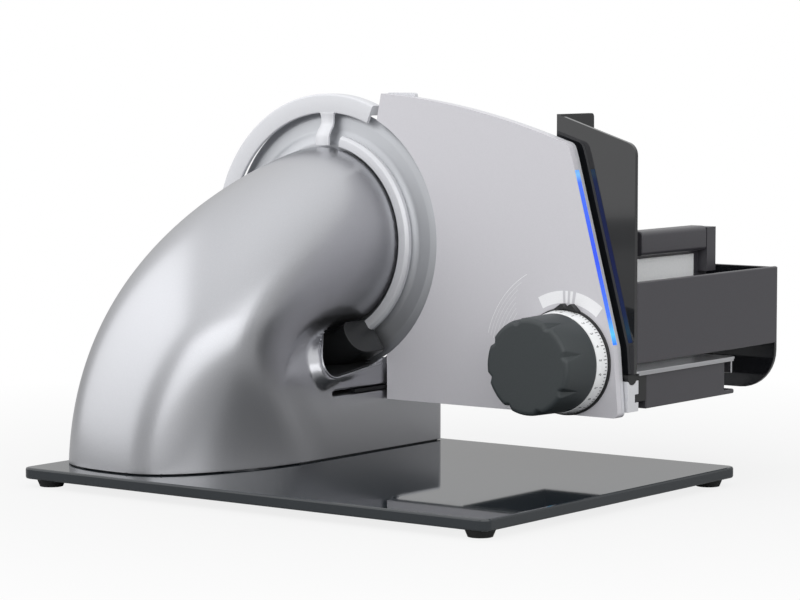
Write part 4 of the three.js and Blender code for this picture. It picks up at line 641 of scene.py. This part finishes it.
def softened(piece, edge, steps=2, angle=35):
    """Rounds the edges of a piece, with flat faces kept flat in the shading."""
    round_over = piece.modifiers.new("round_over", "BEVEL")
    round_over.width = edge / 1000
    round_over.segments = steps
    round_over.limit_method = "ANGLE"
    round_over.angle_limit = math.radians(angle)
    round_over.harden_normals = True
    return piece


# Satin aluminium: bead blasted and clear anodised, so it is pale, even and softly bright.
satin_aluminium = grained("blasted_anodised_aluminium", "#cbccd0", "#d4d5d9", scale=1800.0, bump=(0.1, 0.0001),
                          Metallic=0.3, Roughness=0.45)
band_profile = rounded([(82, 65, 0.8), (94.4, 65, 1.4), (94.4, 74, 0.6), (87.6, 74, 0.3), (87.6, 67.6, 0.3),
                        (82, 67.6, 0.5)])
new_piece("guard_band", *swept(band_profile, BLADE_X, BLADE_Z, 67, 222, 110), satin_aluminium, "stand", "satin_guard",
          ["blade_guard"])
collar_profile = rounded([(61.7, 59.5, 0.5), (67.2, 59.5, 1.2), (68.8, 61.6, 0.8), (68.8, 64.6, 0.5),
                          (61.7, 64.6, 0.3)])
new_piece("guard_collar", *swept(collar_profile, BLADE_X, BLADE_Z, 77.5, -59.5, 110), satin_aluminium, "stand",
          "satin_guard")
spoke_points, spoke_turn = [], math.radians(90.3)
spoke_cos, spoke_sin = math.cos(spoke_turn), math.sin(spoke_turn)
for r, y, half_width in ((61.2, 59.5, 5.2), (66.4, 59.6, 5.2), (68.2, 60.2, 5.2), (71, 62, 5.2), (73.6, 64.2, 5.1),
                         (75.4, 65, 5.0), (79, 65, 5.0), (81, 65, 5.4), (82.2, 65, 6.4), (83.2, 65.1, 8.6)):
    for side_share, depth in ((-1, 0.4), (-0.9, 0), (0.9, 0), (1, 0.4), (1, 2.0), (-1, 2.0)):
        spoke_points.append((BLADE_X + r * spoke_cos + side_share * half_width * spoke_sin, y + depth,
                             BLADE_Z + r * spoke_sin - side_share * half_width * spoke_cos))
new_piece("guard_spoke", spoke_points, loft(spoke_points, 6), satin_aluminium, "stand", "satin_guard")

# Slice deflector: a moulded horn of black acetal under the end of the tube, close to the blade.
# It turns the falling slice into the spout, and is clipped into the housing.
horn = eased([(61.2, 40), (64, 36.2), (69, 34.2), (75, 34.4), (80, 37), (83.2, 42.5), (84, 50), (84, 58)], 4)
horn_profile = rounded([(r, y, 0) for r, y in horn] + [(84, 64.4, 0.8), (61.2, 64.4, 0.4)], 3)
softened(new_piece("slice_horn", *swept(horn_profile, BLADE_X, BLADE_Z, -56, -76, 24), black_acetal, "stand",
                   "matt_black", ["slice_deflector"]), 2.2, 4, 50)


# Stop plate: lacquered front panel, and behind it the aluminium plate that the food slides along.
# Both follow the blade's edge on the left, and the light strip sits in the sloping right edge.
def block(x, y, z):
    """Box from its limits in each axis."""
    return prism([(x[0], y[0]), (x[1], y[0]), (x[1], y[1]), (x[0], y[1])], "Z", *z)


def merged(first, *others, cuts=()):
    """One solid from several that overlap, less the cuts."""
    made = []
    for points, faces in (first, *others, *cuts):
        mesh = bpy.data.meshes.new("blank")
        mesh.from_pydata(points, [], faces)
        shell = bmesh.new()
        shell.from_mesh(mesh)
        bmesh.ops.remove_doubles(shell, verts=shell.verts, dist=1e-4)
        bmesh.ops.recalc_face_normals(shell, faces=shell.faces)
        shell.to_mesh(mesh)
        shell.free()
        made.append(bpy.data.objects.new("blank", mesh))
        bpy.context.scene.collection.objects.link(made[-1])
    for i, tool in enumerate(made[1:]):
        step = made[0].modifiers.new("step", "BOOLEAN")
        step.solver = "EXACT"
        step.operation = "UNION" if i < len(others) else "DIFFERENCE"
        step.object = tool
    bpy.context.view_layer.update()
    result = made[0].evaluated_get(bpy.context.evaluated_depsgraph_get()).to_mesh()
    points = [tuple(v.co) for v in result.vertices]
    faces = [tuple(p.vertices) for p in result.polygons]
    for blank in made:
        bpy.data.objects.remove(blank)
    return points, faces


def stop_outline():
    """Outline of the stop plate, from its lower left corner round by the right edge and the bowed top."""
    arc = 87.2
    low = -math.acos((-44.2 - BLADE_X) / arc)
    high = math.acos((-52.5 - BLADE_X) / arc)
    edge = rounded([(-44.2, 45, 0), (132.5, 45, 5), (132, 52, 3), (129, 88, 30), (98, 203.5, 0), (95.2, 212.2, 9),
                    (89, 214, 0)], 6)
    bow = np.array([(89, 214), (19, 237.3), (-49, 241.6)])
    for t in np.linspace(0, 1, 25)[1:]:
        edge.append(tuple((1 - t) ** 2 * bow[0] + 2 * t * (1 - t) * bow[1] + t * t * bow[2]))
    for t in np.linspace(0, 1, 61):
        angle = high + (low - high) * t
        edge.append((BLADE_X + arc * math.cos(angle), BLADE_Z + arc * math.sin(angle)))
    return edge


# Panel lacquer: light grey two pack paint on pressed aluminium, satin, with a very fine texture.
panel_lacquer = grained("grey_satin_lacquer", "#c4c3c8", "#cbcacf", scale=1400.0, detail=3.0, bump=(0.08, 0.0001),
                        Roughness=0.42, IOR=1.45)
outline = stop_outline()
# The room for the strip follows the straight run of the sloping edge, which rises 115.5 while it goes 31 to the left.
strip = [(98 - 31 / 115.5 * (z - 203.5) + shift, z)
         for z, shift in ((89.8, -2.4), (89.8, 2), (196.2, 2), (196.2, -2.4))]
gear_room = block((80, 108), (68, 72), (46, 92))
tab_room = block((-47, 0), (68, 72), (46.5, 64))
front = merged(prism(outline, "Y", 66, 71), cuts=[prism(strip, "Y", 66.4, 72), gear_room, tab_room])
softened(new_piece("front_panel", *front, panel_lacquer, "stop", "grey_panel", ["plate_cover"]), 0.7)
crest = rounded([(-49, 232, 0), (-25, 232, 0), (-25.5, 242.2, 1.5), (-47.5, 242.2, 1.5)])
plate = merged(prism(outline, "Y", 71.2, 74), prism(crest, "Y", 71.2, 74))
softened(new_piece("food_plate", *plate, satin_aluminium, "stop", "aluminium", ["stop_plate"]), 0.5)

# Light strip: acrylic light pipe pressed into the sloping edge, lit from both ends by blue diodes.
# Acrylic: clear and smooth, deep blue along its length, cyan where the diodes sit.
light_pipe = bpy.data.materials.new("lit_acrylic")
light_pipe.use_nodes = True
acrylic = light_pipe.node_tree.nodes["Principled BSDF"]
acrylic.inputs["Roughness"].default_value = 0.2
acrylic.inputs["IOR"].default_value = 1.49
acrylic.inputs["Base Color"].default_value = linear("#1f38b4")
acrylic.inputs["Emission Strength"].default_value = 0.78
where = add_node(light_pipe, "ShaderNodeTexCoord")
height = add_node(light_pipe, "ShaderNodeSeparateXYZ", {0: where.outputs["Object"]})
share = add_node(light_pipe, "ShaderNodeMapRange", {0: height.outputs[2], 1: 0.090, 2: 0.196})
glow = add_node(light_pipe, "ShaderNodeValToRGB", {0: share.outputs[0]})
glow.color_ramp.elements[0].position, glow.color_ramp.elements[0].color = 0.0, linear("#3d8bff")
glow.color_ramp.elements[1].position, glow.color_ramp.elements[1].color = 1.0, linear("#7fc4ff")
for place, code in ((0.06, "#6fe6ff"), (0.16, "#5a8cf0"), (0.5, "#4560e6"), (0.93, "#5a84f0"), (0.975, "#8fd8ff")):
    glow.color_ramp.elements.new(place).color = linear(code)
light_pipe.node_tree.links.new(glow.outputs[0], acrylic.inputs["Emission Color"])
clad(light_pipe, "led_strip")

# Thickness knob: moulded in one with eight finger notches, on a white scale ring and a black pointer ring.
KNOB_X, KNOB_Z = 94, 77.9
NOTCH_PITCH, NOTCH_TURN, NOTCH_LENGTH = 2 * math.pi / 8, math.radians(16), 15
knob_profile = [(0, 23.35), (14, 23.3), (22, 23.2), (26.6, 23.1)] + eased(
    [(27.2, 23.12), (28.6, 23.5), (29.5, 24.4), (29.85, 25.8)], 4) + [
    (29.9 + 0.7 * i / 22, 26.4 + 27.6 * i / 22) for i in range(23)] + [
    (30.3, 54.4), (26.1, 54.4), (26.1, 31), (11, 31), (11, 63.4), (0, 63.4)]
knob_points, knob_faces = turned(knob_profile, 0, 0, 384)
shaped = []
for i, (x, y, z) in enumerate(knob_points):
    r, angle = math.hypot(x, z), math.atan2(z, x)
    outside = i % len(knob_profile) < len(knob_profile) - 5
    if outside and r > 24 and y < 41:
        left = max(0.0, 1 - max(0.0, y - 24.5) / NOTCH_LENGTH)
        off = abs((angle - NOTCH_TURN + NOTCH_PITCH / 2) % NOTCH_PITCH - NOTCH_PITCH / 2) * 30
        half_width = 3.1 * left + 0.05
        dip = 2.0 * left ** 0.8 * max(0.0, 1 - off / half_width) ** 0.7
        r -= dip * min(1.0, (r - 24) / 4)
    shaped.append((KNOB_X + r * math.cos(angle), y, KNOB_Z + r * math.sin(angle)))

# Anthracite plastic: spark eroded mould texture, dull, dark green grey.
anthracite = grained("textured_anthracite_abs", "#2a2f31", "#343a3c", scale=1600.0, bump=(0.25, 0.0001),
                     Roughness=0.5, IOR=1.5)
new_piece("knob_grip", shaped, knob_faces, anthracite, "knob_set", "anthracite", ["knob"], smooth=32)

# Scale ring: white plastic with printed marks and numbers from 0 to 20 for the slice thickness.
white_abs = grained("moulded_white_abs", "#dfe1e3", "#eceded", scale=500.0, Roughness=0.38)
ring_profile = rounded([(26.1, 54.5, 0.2), (30.9, 54.5, 0.3), (32.2, 64.2, 0.4), (26.1, 64.2, 0.2)], 3)
new_piece("scale_band", *turned(ring_profile, KNOB_X, KNOB_Z), white_abs, "knob_set", "white_plastic", ["scale_ring"])

# Printing ink: thin, flat and slightly glossy.
black_ink = grained("black_pad_print", "#18191b", "#2c2e31", scale=2500.0, Roughness=0.5)


def on_ring(turn, y, lift=0.05):
    """Place on the scale ring, from the pointers round and along the ring."""
    angle, r = math.radians(86) - turn, 30.9 + 1.3 * (y - 54.5) / 9.7 + lift
    return KNOB_X + r * math.cos(angle), y, KNOB_Z + r * math.sin(angle)


SCALE_TURN, SCALE_RADIUS = 320, 31
mark_points, mark_faces = [], []
for i in range(81):
    turn, near_end, half = math.radians(SCALE_TURN * i / 80), 60.6 if i % 4 == 0 else 61.7, 0.22 / SCALE_RADIUS
    corner = len(mark_points)
    for lift in (-0.1, 0.05):
        mark_points += [on_ring(turn - half, near_end, lift), on_ring(turn + half, near_end, lift),
                        on_ring(turn + half, 63.2, lift), on_ring(turn - half, 63.2, lift)]
    mark_faces += [tuple(corner + k for k in f) for f in ((3, 2, 1, 0), (4, 5, 6, 7), (0, 1, 5, 4), (1, 2, 6, 5),
                                                          (2, 3, 7, 6), (3, 0, 4, 7))]
for i in range(21):
    text = bpy.data.curves.new("number", "FONT")
    text.body, text.size, text.align_x, text.align_y = str(i), 3.4, "CENTER", "CENTER"
    text.resolution_u = 2
    text.extrude = 0.06
    drawn = bpy.data.objects.new("number", text)
    bpy.context.scene.collection.objects.link(drawn)
    bpy.context.view_layer.update()
    flat = drawn.evaluated_get(bpy.context.evaluated_depsgraph_get()).to_mesh()
    corner = len(mark_points)
    centre = math.radians(SCALE_TURN * i / 20)
    mark_points += [on_ring(centre + v.co.x / SCALE_RADIUS, 57.6 - v.co.y, v.co.z) for v in flat.vertices]
    mark_faces += [tuple(corner + k for k in f.vertices) for f in flat.polygons]
    bpy.data.objects.remove(drawn)
new_piece("scale_marks", mark_points, mark_faces, black_ink, "knob_set", "matt_black")

# Pointer ring: black plastic with two small teeth that point at the scale, pressed on the front panel.
pointer_profile = rounded([(26.1, 64.4, 0.2), (33.2, 64.4, 0.4), (33.4, 65.9, 0.2), (26.1, 65.9, 0.2)], 3)
new_piece("pointer_band", *turned(pointer_profile, KNOB_X, KNOB_Z), black_acetal, "stop", "matt_black",
          ["pointer_ring"])
for name, tooth in (
        ("pointer_tooth_left", [(87.6, 110.2, 0.2), (96.2, 110.9, 0.2), (96, 111.6, 0.2), (93.4, 114.2, 0.8)]),
        ("pointer_tooth_right", [(96.2, 110.9, 0.2), (105.6, 109.3, 0.2), (100.2, 114.2, 0.8), (96.4, 111.6, 0.2)])):
    softened(new_piece(name, *prism(rounded(tooth, 3), "Y", 61.4, 65.9), black_acetal, "stop", "matt_black"), 0.3)

# Dial print on the panel: a pale arc over the knob and fine arcs beside it, screen printed.
pale_ink = grained("pale_screen_print", "#e4e5e8", "#f2f2f4", scale=2500.0, Roughness=0.4)
print_points, print_faces = [], []
for inner, outer, start, end in ((36.2, 43.8, 93, 118), (36.2, 43.8, 88, 90.5), (36.2, 43.8, 83, 85.5),
                                 (36.2, 43.8, 52, 80), (60.0, 60.35, 119, 166), (57.8, 58.0, 125, 167),
                                 (55.6, 55.8, 130, 168), (53.2, 53.4, 134, 168), (50.8, 51.0, 137, 168),
                                 (48.4, 48.6, 140, 168), (46.0, 46.2, 142, 168)):
    arc_profile = [(inner, 65.94), (outer, 65.94), (outer, 66.02), (inner, 66.02)]
    arc_points, arc_faces = swept(arc_profile, KNOB_X, KNOB_Z, start, end, max(4, int((end - start) / 1.5)))
    print_faces += [tuple(k + len(print_points) for k in face) for face in arc_faces]
    print_points += arc_points
new_piece("dial_print", print_points, print_faces, pale_ink, "stop", "white_plastic")

# Guide rail: extruded aluminium with a round channel on top for the slider, screwed to the pedestal.
rail_outline = [(75, 48), (87, 48), (87, 53.5), (83, 53.5), (83, 58.5), (87, 58.5), (87, 67), (84.61, 67)]
CHANNEL_Y, CHANNEL_Z, CHANNEL_RADIUS = 80, 70, 5.5
channel_start = math.asin(3 / CHANNEL_RADIUS)
for t in np.linspace(0, 1, 17)[1:-1]:
    angle = -channel_start - (math.pi - 2 * channel_start) * t
    rail_outline.append((CHANNEL_Y + CHANNEL_RADIUS * math.cos(angle),
                         CHANNEL_Z + CHANNEL_RADIUS * math.sin(angle)))
rail_outline += [(75.39, 67), (75, 67)]

# Extruded aluminium: drawn lines along the rail under a natural anodised film.
drawn_aluminium = grained("extruded_anodised_aluminium", "#d3d4d8", "#e6e7ea", scale=1.0, stretch=(8, 1600, 1600),
                          Metallic=0.4, Roughness=0.36)
softened(new_piece("rail_bar", *prism(rail_outline, "X", -168, 134), drawn_aluminium, "stand", "aluminium",
                   ["guide_rail"]), 0.35)

# Carriage: black box under a stainless table, with the thumb guard, back wall and hand frame moulded on.
# Carriage plastic: black glass filled, satin, with a faint grey cast from the mould's polish lines.
black_abs = grained("satin_black_abs", "#353439", "#3d3c41", scale=900.0, detail=3.0, bump=(0.08, 0.0001),
                    Roughness=0.33, IOR=1.52)
tray = merged(
    block((-6, 134), (95.8, 190), (48.5, 71)), block((122, 134), (189, 202), (48.5, 51.5)),
    cuts=[block((-3, 131), (98.8, 187), (40, 68))])
softened(new_piece("carriage_tray", *tray, black_abs, "carriage", "gloss_black", ["carriage_base"]), 1.3, 3)

# Table: stainless sheet, brushed along its length, its far end and its right edge bent down.
brushed_sheet = grained("brushed_stainless_sheet", "#b3b4b7", "#cfd0d3", scale=1.0, stretch=(1500, 10, 1500),
                        dull=(0.24, 0.36), Metallic=1.0)
table = merged(
    prism(rounded([(-14, 82, 3), (136, 82, 3), (136, 201, 3), (-14, 201, 3)]), "Z", 71.2, 72.8),
    block((-11, 133), (199.4, 201), (61.8, 72)), block((134.5, 136), (85, 198), (69.9, 72)))
softened(new_piece("table_sheet", *table, brushed_sheet, "carriage", "stainless_sheet", ["table_plate"]), 0.4)

# Thumb guard: polished black plastic, tall at the plate, moulded in one with the low back wall.
gloss_black = grained("polished_black_pmma", "#0d0e11", "#141619", scale=60.0, Roughness=0.06, IOR=1.52,
                      Coat_Weight=0.3, Coat_Roughness=0.03)
guard_outline = rounded([(79, 71.4, 0.5), (136.7, 71.4, 0.5), (136.7, 211.5, 8), (79, 230, 0.5)], 8)
back_outline = rounded([(77.5, 73, 0), (248.8, 73, 0), (248.8, 125, 0.8), (116, 125, 34), (115, 230, 2.5),
                        (77.5, 230, 0)], 10)
guard = merged(prism(guard_outline, "Y", 77.5, 80.5), prism(back_outline, "X", 79, 82))
softened(new_piece("thumb_guard", *guard, gloss_black, "carriage", "gloss_black", ["carriage_back"]), 0.6)

# Hand frame: outer wall and far end wall of the carriage, the end wall hanging lower with a round corner.
end_outline = rounded([(79, 47, 1), (136.6, 47, 26), (136.6, 127.6, 0.5), (79, 127.6, 0.5)], 10)
softened(new_piece("hand_wall", *block((133.7, 136.7), (80.7, 252), (77.5, 128)), black_abs, "carriage", "gloss_black",
                   ["hand_frame"]), 1.2, 3)
softened(new_piece("end_wall", *prism(end_outline, "Y", 249.1, 251.9), gloss_black, "carriage", "gloss_black"), 1.0, 3)

# Remnant holder: black frame with a pale window panel, a grip on top and a bridge to the spiked plate.
spikes = [turned([(0, 200), (2, 207), (0, 207)], x, z, 20) for x, z in
          ((21.4, 80.8), (32.2, 96.8), (43, 80.8), (53.8, 96.8), (64.6, 80.8))]
holder = merged(
    block((101.6, 105), (125, 214), (73, 140)), block((101.6, 112), (203.2, 214), (126.5, 155)),
    block((16, 105), (206, 214), (126.5, 134.5)), block((16, 70), (206, 209.4), (73, 134.5)), *spikes,
    cuts=[block((100, 106), (129, 199), (76.8, 138.2))])
softened(new_piece("holder_frame", *holder, black_abs, "pusher", "gloss_black", ["pusher_frame"]), 0.5)
softened(new_piece("holder_panel", *block((101.8, 104.8), (129.2, 198.8), (77, 138)), white_abs, "pusher", "pale_panel",
                   ["pusher_panel"]), 0.4)
grip_outline = rounded([(98, 140.2, 2.8), (112, 140.2, 2.8), (112, 156, 3.2), (98, 156, 3.2)])
softened(new_piece("holder_grip", *prism(grip_outline, "Y", 125, 203), black_abs, "pusher", "gloss_black",
                   ["pusher_grip"]), 1.2, 3)

# Switch: round black push button in the far face of the pedestal.
clad(black_acetal, "switch_button")
